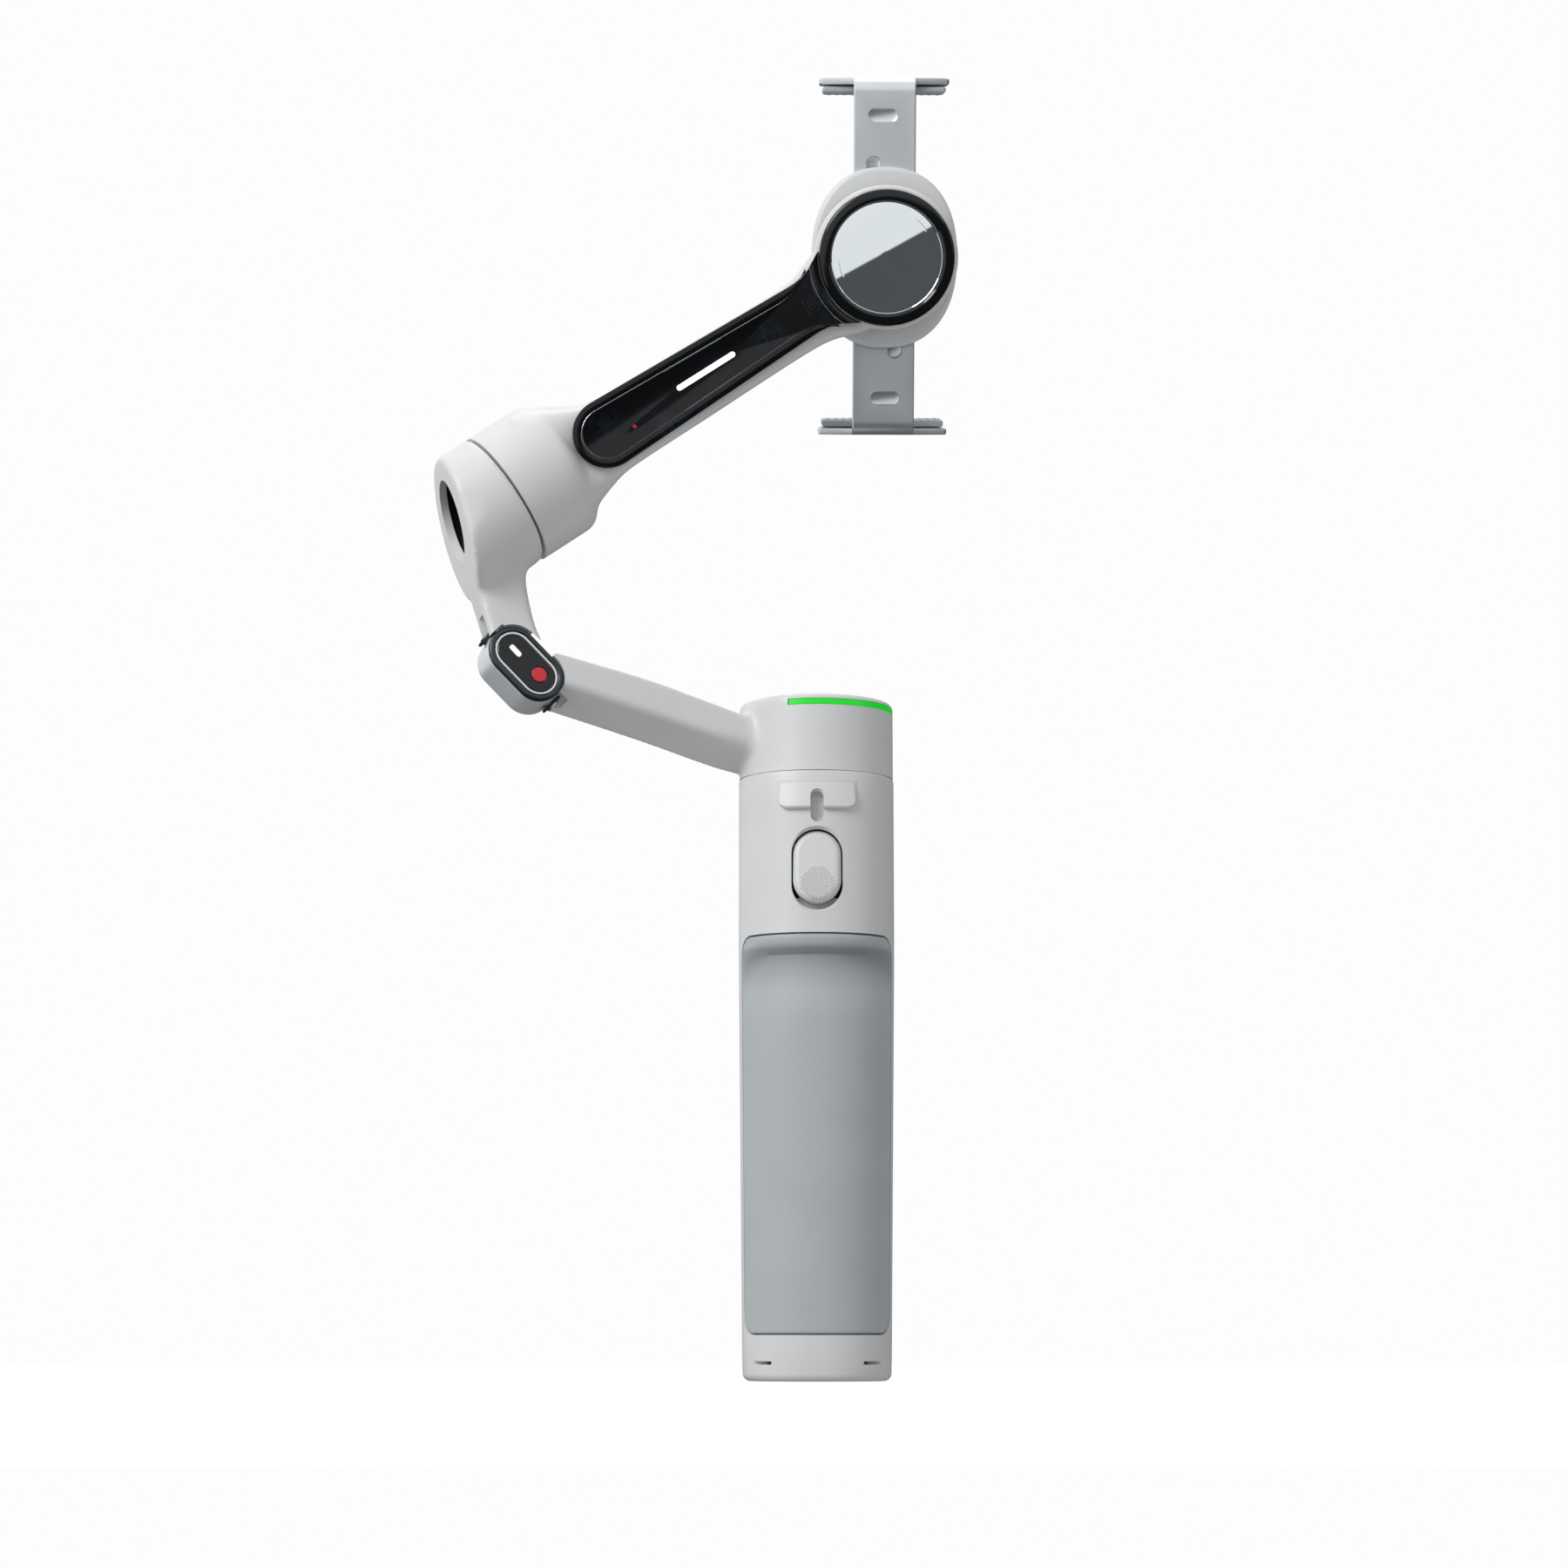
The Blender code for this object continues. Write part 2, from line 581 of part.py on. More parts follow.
def rounded_loop(corners, radius, steps=3):
    """A flat loop through corners that are rounded off."""
    loop = []
    count = len(corners)
    for i, corner in enumerate(corners):
        here = Vector(corner)
        back = (Vector(corners[i - 1]) - here).normalized()
        ahead = (Vector(corners[(i + 1) % count]) - here).normalized()
        for k in range(steps + 1):
            share = k / steps
            point = here + back * radius * (1 - share) ** 2 + ahead * radius * share ** 2
            loop.append((point.x, point.y))
    return loop


def pan_arm_mesh():
    """The arm from the pan housing up to the elbow: upright front face, underside sloping back."""
    loops = []
    for x, top, edge, under in (
            (0.0, 4.4, -2.0, -5.2), (10.0, 2.4, -4.7, -7.8), (28.0, -1.9, -9.7, -12.8),
            (46.0, -7.3, -14.9, -18.2), (60.0, -8.9, -17.4, -20.6)):
        corners = [(0.0, edge), (0.0, top), (-BLOCK_DEPTH / MM, top), (-BLOCK_DEPTH / MM, under)]
        loops.append([(x * MM, y * MM, n * MM) for n, y in rounded_loop(corners, 1.2)])
    return loft(loops)


def mitre_box(start, end):
    """A slab across the elbow, from start to end along the fold axis."""
    slab = box((start, -60 * MM, -60 * MM), (end, 60 * MM, 60 * MM))
    bmesh.ops.rotate(slab, verts=slab.verts, cent=(0, 0, 0), matrix=Matrix.Rotation(BLOCK_TURN, 3, "Z"))
    return slab


# ---------------------------------------------------------------- elbow

def along_fold(bm):
    """Turn a shape built along Z so that it lies along the fold axis at the block's mid-depth."""
    turn = Matrix.Rotation(BLOCK_TURN, 4, "Z") @ Matrix.Rotation(math.pi / 2, 4, "Y")
    bm.transform(Matrix.Translation((0, 0, -BLOCK_DEPTH / 2)) @ turn)
    return bm


def block_ring(outer, inner, low, high):
    """A stadium frame around the block's face."""
    loops = []
    for radius, height in ((outer, low), (outer, high), (inner, high), (inner, low)):
        loops.append([(x, y, height) for x, y in stadium(BLOCK_REACH, radius, BLOCK_TURN)])
    return loft(loops, closed=True)


def make_elbow(parent, shift):
    def outline(radius):
        return stadium(BLOCK_REACH, radius, BLOCK_TURN)

    block = prism(outline(BLOCK_RADIUS), -BLOCK_DEPTH, -1.4 * MM)
    body = add_object("elbow_block", block, satin_aluminium(), parent, shift)
    bore = along_fold(turned([(1.8 * MM, -12 * MM), (1.8 * MM, 12 * MM)], 20))
    combine(body, add_object("fold_bore", bore, steel(), parent, shift), "DIFFERENCE")
    dark = material("bezel_grey", (0.06, 0.063, 0.07), 0.45)
    add_object("elbow_bezel", block_ring(BLOCK_RADIUS, 4.35 * MM, -1.1 * MM, 0.0), dark, parent, shift)
    white = material("inlay_white", (0.75, 0.76, 0.76), 0.4)
    add_object("elbow_inlay", block_ring(4.1 * MM, 3.65 * MM, -1.1 * MM, -0.1 * MM), white, parent, shift)
    face = prism(outline(3.4 * MM), -1.1 * MM, -0.2 * MM)
    face = add_object("elbow_face", face, dark_plastic(), parent, shift)
    dot_centre = (2.71 * MM, -2.4 * MM)
    pill_centre = (-2.25 * MM, 2.7 * MM)
    hole = prism(stadium(0.0001 * MM, 1.9 * MM, 0, dot_centre), -3 * MM, 2 * MM)
    combine(face, add_object("dot_hole", hole, steel(), parent, shift), "DIFFERENCE")
    hole = prism(stadium(1.0 * MM, 0.8 * MM, BLOCK_TURN, pill_centre), -3 * MM, 2 * MM)
    combine(face, add_object("pill_hole", hole, steel(), parent, shift), "DIFFERENCE")
    dot = disc(1.65 * MM, -1.1 * MM, 0.0, 0.2 * MM, 28)
    bmesh.ops.translate(dot, verts=dot.verts, vec=(*dot_centre, 0))
    add_object("elbow_button", dot, material("dot_red", (0.65, 0.03, 0.04), 0.35), parent, shift)
    pill = prism(stadium(1.0 * MM, 0.5 * MM, BLOCK_TURN, pill_centre), -1.1 * MM, -0.1 * MM)
    add_object("elbow_light", pill, white, parent, shift)
    pin = along_fold(turned([(1.5 * MM, -10.4 * MM), (1.5 * MM, 10.4 * MM)], 20))
    add_object("fold_pin", pin, steel(), parent, shift)
    gasket = along_fold(tube(2.9 * MM, 1.8 * MM, 9.5 * MM, 10.9 * MM, 24))
    add_object("lower_gasket", gasket, dark_plastic(), parent, shift)


# ---------------------------------------------------------------- upper arm and tilt ring

def upper_arm_mesh():
    """The slab from the fold joint up to the tilt ring, in the elbow's frame."""
    loops = []
    for y, left, right in ((1.5, -8.6, 6.4), (4.5, -8.9, 4.6), (8.3, -9.2, 2.9), (13.0, -10.3, 2.0),
                           (20.5, -11.8, 1.2), (28.0, -13.0, 0.8), (34.0, -13.0, -1.0)):
        corners = [(left, 0.0), (left, -BLOCK_DEPTH / MM), (right, -BLOCK_DEPTH / MM), (right, 0.0)]
        loops.append([(x * MM, y * MM, n * MM) for x, n in rounded_loop(corners, 1.6)])
    return loft(loops)


def make_upper_arm(elbow_parent, elbow_shift, tilt):
    arm = add_object("upper_arm", upper_arm_mesh(), shell_grey(), elbow_parent, elbow_shift)
    ring = [(TILT_RADIUS - 2.2 * MM, -RING_LENGTH), (TILT_RADIUS - 0.65 * MM, -RING_LENGTH + 0.65 * MM),
            (TILT_RADIUS, -RING_LENGTH + 2.2 * MM), (TILT_RADIUS, -GAP / 2)]
    combine(arm, add_object("tilt_ring_core", turned(ring, 40), shell_grey(), tilt), "UNION")
    hole = turned([(11.2 * MM, -40 * MM), (11.2 * MM, 12 * MM)], 40)
    combine(arm, add_object("tilt_hole", hole, steel(), tilt), "DIFFERENCE")
    seam = turned([(40 * MM, -GAP / 2), (40 * MM, 30 * MM)], 24)
    combine(arm, add_object("tilt_seam_cut", seam, steel(), tilt), "DIFFERENCE")
    room = along_fold(turned([(SWIVEL_CLEAR, -9.6 * MM), (SWIVEL_CLEAR, 30 * MM)], 40))
    combine(arm, add_object("swivel_room", room, steel(), elbow_parent, elbow_shift), "DIFFERENCE")
    mitre = mitre_box(0.0, 60 * MM)
    combine(arm, add_object("arm_mitre", mitre, steel(), elbow_parent, elbow_shift), "DIFFERENCE")
    bore = along_fold(turned([(3.2 * MM, -14 * MM), (3.2 * MM, -2 * MM)], 24))
    combine(arm, add_object("gasket_room", bore, steel(), elbow_parent, elbow_shift), "DIFFERENCE")
    gasket = along_fold(tube(2.9 * MM, 1.8 * MM, -11.2 * MM, -9.6 * MM, 24))
    add_object("upper_gasket", gasket, dark_plastic(), elbow_parent, elbow_shift)
    liner = tube(10.9 * MM, 9.5 * MM, -9.0 * MM, -6.9 * MM, 40)
    add_object("ring_liner", liner, steel(), tilt)
    stator = tube(10.9 * MM, 2.4 * MM, -6.5 * MM, -0.9 * MM, 40)
    add_object("tilt_stator", stator, dark_plastic(), tilt)


# ---------------------------------------------------------------- head arm

def arm_point(along, across, height):
    """A point of the head arm: along the line from the roll axis, across it, and towards the front."""
    c, s = math.cos(ARM_TURN), math.sin(ARM_TURN)
    return (-along * c - across * s, -along * s + across * c, height)


def face_height(along):
    return ARM_RISE * (along - ROLL_RING_RADIUS)


def cover_outline(shrink=0.0, ring_gap=GAP):
    """Outline of the glossy cover as (along, across): round far end, hollow end around the roll ring."""
    points = []
    radius = COVER_END_RADIUS - shrink
    for i in range(15):
        angle = math.radians(90 - 180 * i / 14)
        points.append((ARM_END + radius * math.cos(angle), radius * math.sin(angle)))
    neck = COVER_NECK_RADIUS - shrink
    ring = ROLL_RING_RADIUS + ring_gap + shrink
    limit = math.asin(neck / ring)
    for i in range(9):
        angle = -limit + 2 * limit * i / 8
        points.append((ring * math.cos(angle), ring * math.sin(angle)))
    return points


def cover_prism(shrink, low, high, ring_gap=GAP, edge=0.0):
    loops = []
    for height, draw in ((low, 0.0), (high - edge, 0.0), (high, edge)):
        outline = cover_outline(shrink + draw, ring_gap)
        loops.append([arm_point(a, b, face_height(a) + height) for a, b in outline])
    if not edge:
        del loops[1]
    return loft(loops)


def head_arm_mesh():
    """Body of the head arm under its cover, wider on its lower side."""
    loops = []
    for along, low_side, high_side, back, corner in (
            (6.0, -8.0, 5.9, -12.0, 2.0), (14.5, -8.1, 5.9, -12.0, 2.0), (30.0, -8.4, 6.3, -11.8, 2.2),
            (50.0, -8.7, 6.8, -11.2, 2.4), (69.0, -9.0, 7.2, -10.5, 2.6), (75.0, -10.2, 9.0, -10.4, 3.5),
            (80.0, -12.0, 12.0, -10.3, 6.0), (86.0, -14.0, 14.0, -10.0, 8.0)):
        top = face_height(along * MM) / MM - 1.8
        corners = [(low_side, top), (high_side, top), (high_side, back), (low_side, back)]
        outline = rounded_loop(corners, corner)
        loops.append([arm_point(along * MM, across * MM, height * MM) for across, height in outline])
    return loft(loops)


def make_head_arm(tilt, roll_parent, roll_shift_matrix):
    def in_roll(name, bm, made_of):
        bm.transform(roll_shift_matrix)
        return add_object(name, bm, made_of, roll_parent)

    edge = 4.0 * MM
    can = [(TILT_RADIUS, GAP / 2)]
    for i in range(5):
        angle = math.radians(22.5 * i)
        can.append((TILT_RADIUS - edge + edge * math.cos(angle), CAN_LENGTH - edge + edge * math.sin(angle)))
    arm = add_object("head_arm", turned(can, 40), shell_grey(), tilt)
    combine(arm, in_roll("head_arm_core", head_arm_mesh(), shell_grey()), "UNION")
    housing = disc(ROLL_HOUSING_RADIUS, -12.6 * MM, -1.8 * MM, 0.8 * MM, 40)
    combine(arm, in_roll("roll_housing_core", housing, shell_grey()), "UNION")
    combine(arm, in_roll("roll_room", disc(13.3 * MM, -20 * MM, -4.2 * MM), steel()), "DIFFERENCE")
    room = cover_prism(1.6 * MM, -4.6 * MM, 9 * MM, 1.5 * MM)
    combine(arm, in_roll("board_room", room, steel()), "DIFFERENCE")
    room = turned([(13.0 * MM, -20 * MM), (13.0 * MM, 7.0 * MM)], 32)
    combine(arm, add_object("rotor_room", room, steel(), tilt), "DIFFERENCE")
    seam = turned([(40 * MM, -30 * MM), (40 * MM, GAP / 2)], 24)
    combine(arm, add_object("head_seam_cut", seam, steel(), tilt), "DIFFERENCE")
    rotor = [(2.0, -8.2), (2.0, 0.6), (12.6, 0.6), (12.6, 6.6)]
    add_object("tilt_rotor", turned([(r * MM, z * MM) for r, z in rotor]), steel(), tilt)

    cover = in_roll("arm_cover", cover_prism(0.0, -1.5 * MM, 0.0, GAP, 0.4 * MM), gloss_black())
    for name, grow, low, high in (
            ("light_pocket", GAP, -0.9 * MM, 3 * MM), ("arm_light", 0.0, -0.6 * MM, 0.0)):
        outline = stadium(LIGHT_REACH, LIGHT_RADIUS + grow, 0, (LIGHT_ALONG, 0.0), 6)
        loops = [[arm_point(a, b, face_height(a) + h) for a, b in outline] for h in (low, high)]
        piece = in_roll(name, loft(loops), material("light_white", (0.8, 0.82, 0.85), 0.3))
        if name == "light_pocket":
            combine(cover, piece, "DIFFERENCE")
    board = cover_prism(2.4 * MM, -3.6 * MM, -2.4 * MM, 1.8 * MM)
    in_roll("arm_board", board, board_green())
    in_roll("roll_bezel", turned_bezel(), gloss_black())
    mirror = disc(MIRROR_RADIUS, -1.4 * MM, -0.25 * MM, 0.2 * MM, 40)
    in_roll("roll_mirror", mirror, material("mirror", (0.85, 0.86, 0.87), 0.03, 1.0))
    in_roll("roll_stator", tube(12.9 * MM, 2.4 * MM, -9.4 * MM, -4.6 * MM), copper())


def turned_bezel():
    outer, inner = ROLL_RING_RADIUS, MIRROR_RADIUS + GAP
    return turned([
        (outer, -1.5 * MM), (outer, -0.5 * MM), (outer - 0.5 * MM, 0.0), (inner + 0.3 * MM, 0.0),
        (inner, -0.3 * MM), (inner, -1.5 * MM)], 40, hollow=True)


# ---------------------------------------------------------------- clamp

def make_clamp(roll):
    outline = oval(CLAMP_HALF_X, CLAMP_HALF_Y)
    loops = []
    for height, scale in ((CLAMP_BACK, 0.97), (CLAMP_BACK + 0.6 * MM, 1.0), (CLAMP_FRONT - 0.8 * MM, 1.0),
                          (CLAMP_FRONT, 0.955)):
        loops.append([(x * scale, y * scale, height) for x, y in outline])
    body = add_object("clamp_body", loft(loops), shell_grey(), roll)
    reach = PLATE_HALF + GAP
    channel = box((-reach, -30 * MM, PLATE_BACK - GAP), (reach, 30 * MM, PLATE_FRONT + GAP))
    combine(body, add_object("plate_channel", channel, steel(), roll), "DIFFERENCE")
    pocket = tube(12.9 * MM, 8.6 * MM, -16.2 * MM, -12 * MM)
    combine(body, add_object("magnet_pocket", pocket, steel(), roll), "DIFFERENCE")
    add_object("magnet_ring", tube(12.6 * MM, 8.9 * MM, -15.9 * MM, -14.3 * MM), steel(), roll)
    rotor = [(12.9, -13.8), (12.9, -9.8), (2.0, -9.8), (2.0, -4.7)]
    add_object("roll_rotor", turned([(r * MM, z * MM) for r, z in rotor]), steel(), roll)
    pad = oval(13.2 * MM, 16.8 * MM, 36)
    add_object("clamp_pad", prism(pad, -23.0 * MM, CLAMP_BACK - GAP), grip_rubber(), roll)
    pinion = turned([(2.6 * MM, PLATE_BACK), (2.6 * MM, PLATE_FRONT)], 24)
    add_object("jaw_pinion", pinion, steel(), roll)


def jaw_plate_mesh(side):
    """Plate of one jaw with its bend into the lip, drawn for the upper jaw and turned for the lower."""
    thick = PLATE_FRONT - PLATE_BACK
    bend = 3.0 * MM
    outer = [(JAW_INNER, PLATE_FRONT)]
    inner = [(JAW_INNER, PLATE_BACK)]
    for i in range(7):
        angle = math.radians(15 * i)
        for line, radius in ((outer, bend), (inner, bend - thick)):
            line.append((
                JAW_OUTER - bend + radius * math.sin(angle), PLATE_FRONT - bend + radius * math.cos(angle)))
    outer.append((JAW_OUTER, LIP_BACK))
    inner.append((JAW_OUTER - thick, LIP_BACK))
    loops = []
    for (yo, zo), (yi, zi) in zip(outer, inner):
        reach = PLATE_HALF
        if zo < PLATE_BACK:
            reach = LIP_HALF
        loops.append([(-reach, yo, zo), (reach, yo, zo), (reach, yi, zi), (-reach, yi, zi)])
    bm = loft(loops)
    if side < 0:
        bmesh.ops.rotate(bm, verts=bm.verts, cent=(0, 0, 0), matrix=Matrix.Rotation(math.pi, 3, "Z"))
    return bm


def flip(bm, side):
    if side < 0:
        bmesh.ops.rotate(bm, verts=bm.verts, cent=(0, 0, 0), matrix=Matrix.Rotation(math.pi, 3, "Z"))
    return bm


def make_jaw(name, side, roll):
    jaw = add_object(name + "_jaw", jaw_plate_mesh(side), satin_aluminium(), roll)
    rack = box((RACK_NEAR, -RACK_END, PLATE_BACK), (RACK_FAR, JAW_INNER + 1.0 * MM, PLATE_FRONT))
    combine(jaw, add_object(name + "_rack", flip(rack, side), steel(), roll), "UNION")
    lane = box((-RACK_FAR - GAP, 0, -25 * MM), (-RACK_NEAR + GAP, LANE_END, -10 * MM))
    combine(jaw, add_object(name + "_lane", flip(lane, side), steel(), roll), "DIFFERENCE")
    across = prism(stadium(1.7 * MM, 1.35 * MM, 0, (-0.4 * MM, 30.6 * MM)), -25 * MM, -10 * MM)
    combine(jaw, add_object(name + "_cross_slot", flip(across, side), steel(), roll), "DIFFERENCE")
    up = prism(stadium(5.5 * MM, 1.45 * MM, math.pi / 2, (-2.4 * MM, 16.2 * MM)), -25 * MM, -10 * MM)
    combine(jaw, add_object(name + "_long_slot", flip(up, side), steel(), roll), "DIFFERENCE")
    top = JAW_OUTER - (PLATE_FRONT - PLATE_BACK) - GAP
    pad = box((-13.6 * MM, top - 1.5 * MM, LIP_BACK + 0.4 * MM), (13.6 * MM, top, -21.6 * MM))
    add_object(name + "_jaw_pad", flip(pad, side), grip_rubber(), roll)


# ---------------------------------------------------------------- assembly

def main():
    clear_scene()
    elbow = frame_matrix(ELBOW_CENTRE, ELBOW_NORMAL)
    roll = frame_matrix(ROLL_FACE, ROLL_AXIS)
    crossing = ROLL_FACE - ROLL_AXIS.normalized() * BALANCE_DEPTH
    tilt = frame_matrix(TILT_SEAM, crossing - TILT_SEAM)
    fold = elbow @ Matrix.Translation((0, 0, -BLOCK_DEPTH / 2))

    trigger_pivot = add_empty("trigger_axis", Matrix.Translation(TRIGGER_PIVOT))
    pan_axis = add_empty("pan_axis", Matrix.Identity(4))
    fold_axis = add_empty("fold_axis", fold)
    tilt_axis = add_empty("tilt_axis", tilt)
    roll_axis = add_empty("roll_axis", roll)
    face_shift = (0, 0, BLOCK_DEPTH / 2)

    make_shells()
    make_grip()
    make_trigger(trigger_pivot)
    make_controls()
    make_inside()
    make_tripod()
    make_pan(pan_axis, fold_axis, face_shift)
    make_elbow(fold_axis, face_shift)
    make_upper_arm(fold_axis, face_shift, tilt_axis)
    make_head_arm(tilt_axis, tilt_axis, tilt.inverted() @ roll)
    make_clamp(roll_axis)
    make_jaw("upper", 1, roll_axis)
    make_jaw("lower", -1, roll_axis)
    bpy.context.view_layer.update()


main()
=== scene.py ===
# %% [markdown]
# # A folding phone gimbal, piece by piece
# The frame from the CAD gives every piece its place and the body it moves with. On top of it this
# notebook makes the skins that the eye sees: moulded grey shells that flow into each other, a soft
# grip, a glossy smoked cover, a small domed mirror and bead-blasted aluminium jaws. Each cell makes
# one thing and prints what it made.

# %% Load the frame
import json
import math

import bmesh
import bpy
from mathutils import Matrix, Vector


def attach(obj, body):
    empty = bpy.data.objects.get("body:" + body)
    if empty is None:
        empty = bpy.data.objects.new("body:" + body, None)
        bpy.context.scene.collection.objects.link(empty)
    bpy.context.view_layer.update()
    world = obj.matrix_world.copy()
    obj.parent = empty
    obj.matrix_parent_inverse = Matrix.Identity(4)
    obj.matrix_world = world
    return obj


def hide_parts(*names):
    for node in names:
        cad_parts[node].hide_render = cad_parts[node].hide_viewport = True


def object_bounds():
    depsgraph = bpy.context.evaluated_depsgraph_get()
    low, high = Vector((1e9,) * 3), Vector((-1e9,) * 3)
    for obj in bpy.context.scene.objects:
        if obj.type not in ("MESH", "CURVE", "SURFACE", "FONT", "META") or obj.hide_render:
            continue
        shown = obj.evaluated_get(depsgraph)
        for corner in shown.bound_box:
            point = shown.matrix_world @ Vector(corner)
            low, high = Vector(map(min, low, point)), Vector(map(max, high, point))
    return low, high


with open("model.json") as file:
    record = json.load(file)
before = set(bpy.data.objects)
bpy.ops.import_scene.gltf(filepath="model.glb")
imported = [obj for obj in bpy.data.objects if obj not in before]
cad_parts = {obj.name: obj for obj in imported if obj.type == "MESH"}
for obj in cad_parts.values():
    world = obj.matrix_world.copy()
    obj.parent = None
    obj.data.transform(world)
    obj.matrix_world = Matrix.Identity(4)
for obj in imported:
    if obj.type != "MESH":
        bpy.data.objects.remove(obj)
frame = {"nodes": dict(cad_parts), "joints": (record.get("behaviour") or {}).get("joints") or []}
cad_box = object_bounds()
nodes = frame["nodes"]
joints = {joint["name"]: joint for joint in frame["joints"]}

# %% [markdown]
# ## Where things are
# Three slanted axes carry the design: the fold at the elbow, the tilt motor and the roll motor.
# Each gets a frame of its own, with Z along the axis and Y as near upright as it can be. A shape is
# drawn flat in its frame and placed once, in its mesh, so every object stays at the origin.

# %% Frames of the three slanted joints
MM = 0.001
GAP = 0.3 * MM
UP = Vector((0, 0, 1))


def axis_frame(origin, toward, up=UP):
    """A frame at origin whose Z points along toward."""
    z = Vector(toward).normalized()
    y = (up - z * up.dot(z)).normalized()
    turned = Matrix((y.cross(z), y, z)).transposed().to_4x4()
    return Matrix.Translation(origin) @ turned


BLOCK_DEPTH = 11.0 * MM
block_normal = -Vector(joints["elbow_press"]["axis"])
ELBOW = axis_frame(Vector(joints["fold"]["pos_m"]) + block_normal * BLOCK_DEPTH / 2, block_normal)
TILT = axis_frame(joints["tilt"]["pos_m"], joints["tilt"]["axis"])
ROLL = axis_frame(joints["roll"]["pos_m"], joints["roll"]["axis"])
UPRIGHT = Matrix.Identity(4)


def facing(side, height):
    """A frame on the handle's middle plane that looks out of its front (-1) or its back (1)."""
    return axis_frame((0, 0, height), (0, side, 0))


for name, place in (("elbow", ELBOW), ("tilt", TILT), ("roll", ROLL)):
    print(name, "at", [round(v / MM, 1) for v in place.translation], "mm")

# %% [markdown]
# ## Drawing tools
# Nearly everything here is a stack of outlines skinned into a closed body: a turned part is a stack
# of circles, a key is a stack of round-ended bars, and an arm is a stack of rounded boxes whose
# sizes ease from one station to the next.

# %% Outlines


def stadium(reach, radius, turn=0.0, centre=(0.0, 0.0), steps=64):
    """Outline of a bar with round ends, or of a circle when it has no reach."""
    points = []
    half = steps // 2
    for side in (1, -1):
        for i in range(half + (1 if reach else 0)):
            angle = -math.pi / 2 + math.pi * i / half
            x = side * (reach + radius * math.cos(angle))
            y = side * radius * math.sin(angle)
            points.append((
                centre[0] + x * math.cos(turn) - y * math.sin(turn),
                centre[1] + x * math.sin(turn) + y * math.cos(turn)))
    return points


def arc(radius, height, edge, first, last, steps=6):
    """Points (radius, height) of a rounded edge about a centre, between two angles in degrees."""
    points = []
    for i in range(steps + 1):
        angle = math.radians(first + (last - first) * i / steps)
        points.append((radius + edge * math.cos(angle), height + edge * math.sin(angle)))
    return points


def rounded(corners, radius, place, steps=6):
    """A loop of rounded corners; place turns its two coordinates (mm) into a point (mm)."""
    loop = []
    for i, corner in enumerate(corners):
        here = Vector(corner)
        back = (Vector(corners[i - 1]) - here).normalized()
        ahead = (Vector(corners[(i + 1) % len(corners)]) - here).normalized()
        for k in range(steps + 1):
            share = k / steps
            point = here + back * radius * (1 - share) ** 2 + ahead * radius * share ** 2
            loop.append(Vector(place(point.x, point.y)) * MM)
    return loop


def eased(stations, count):
    """More sections between the given ones, on a smooth curve through them (Catmull-Rom)."""
    made = []
    last = len(stations) - 1
    for i in range(count + 1):
        k = min(int(last * i / count), last - 1)
        u = last * i / count - k
        four = [stations[max(0, min(last, k + step))] for step in (-1, 0, 1, 2)]
        made.append(tuple(
            b + 0.5 * u * (c - a + u * (2 * a - 5 * b + 4 * c - d + u * (3 * b - a - 3 * c + d)))
            for a, b, c, d in zip(*four)))
    return made


# %% Bodies
def skin(loops, closed=False):
    """Skins equal loops of points into a body; open ends get caps, or the last loop joins the first."""
    bm = bmesh.new()
    rows = [[bm.verts.new(point) for point in loop] for loop in loops]
    pairs = list(zip(rows, rows[1:]))
    if closed:
        pairs.append((rows[-1], rows[0]))
    for low, high in pairs:
        for i in range(len(low)):
            j = (i + 1) % len(low)
            bm.faces.new((low[i], low[j], high[j], high[i]))
    if not closed:
        bm.faces.new(rows[0][::-1])
        bm.faces.new(rows[-1])
    return bm


def bar(profile, reach=0.0, turn=0.0, centre=(0.0, 0.0), steps=96, hollow=False):
    """A round-ended bar, or with no reach a turned part. The profile lists (radius, height) in mm."""
    loops = []
    for radius, height in profile:
        outline = stadium(reach * MM, radius * MM, turn, (centre[0] * MM, centre[1] * MM), steps)
        loops.append([(x, y, height * MM) for x, y in outline])
    return skin(loops, hollow)


def slab(low, high):
    """A box between two corners, in mm."""
    outline = [(low[0], low[1]), (high[0], low[1]), (high[0], high[1]), (low[0], high[1])]
    return skin([[(x * MM, y * MM, z * MM) for x, y in outline] for z in (low[2], high[2])])


def solid(name, bm, place=UPRIGHT):
    """An object at the origin, with its place worked into its mesh and its faces pointing out."""
    bm.transform(place)
    bmesh.ops.remove_doubles(bm, verts=bm.verts, dist=1e-7)
    bmesh.ops.recalc_face_normals(bm, faces=bm.faces)
    mesh = bpy.data.meshes.new(name)
    bm.to_mesh(mesh)
    bm.free()
    thing = bpy.data.objects.new(name, mesh)
    bpy.context.scene.collection.objects.link(thing)
    return thing


# %% [markdown]
# ## Fusing and carving
# On a moulded arm the parts don't meet in sharp creases: they flow. The bodies are fused, remade as
# a skin of small even faces and then relaxed, which turns each crease into a fillet. Seams, mouths
# and pockets are carved after that, so they stay crisp.

# %% Fuse, relax, carve


def applied(thing):
    """Works the modifiers of an object into its plain mesh."""
    graph = bpy.context.evaluated_depsgraph_get()
    mesh = bpy.data.meshes.new_from_object(thing.evaluated_get(graph))
    thing.modifiers.clear()
    thing.data = mesh
    return thing


def combined(thing, others, operation):
    """Adds or takes away other bodies, which are used up."""
    for other in others:
        step = thing.modifiers.new(other.name, "BOOLEAN")
        step.operation = operation
        step.solver = "MANIFOLD"
        step.object = other
    applied(thing)
    for other in others:
        bpy.data.objects.remove(other)
    return thing


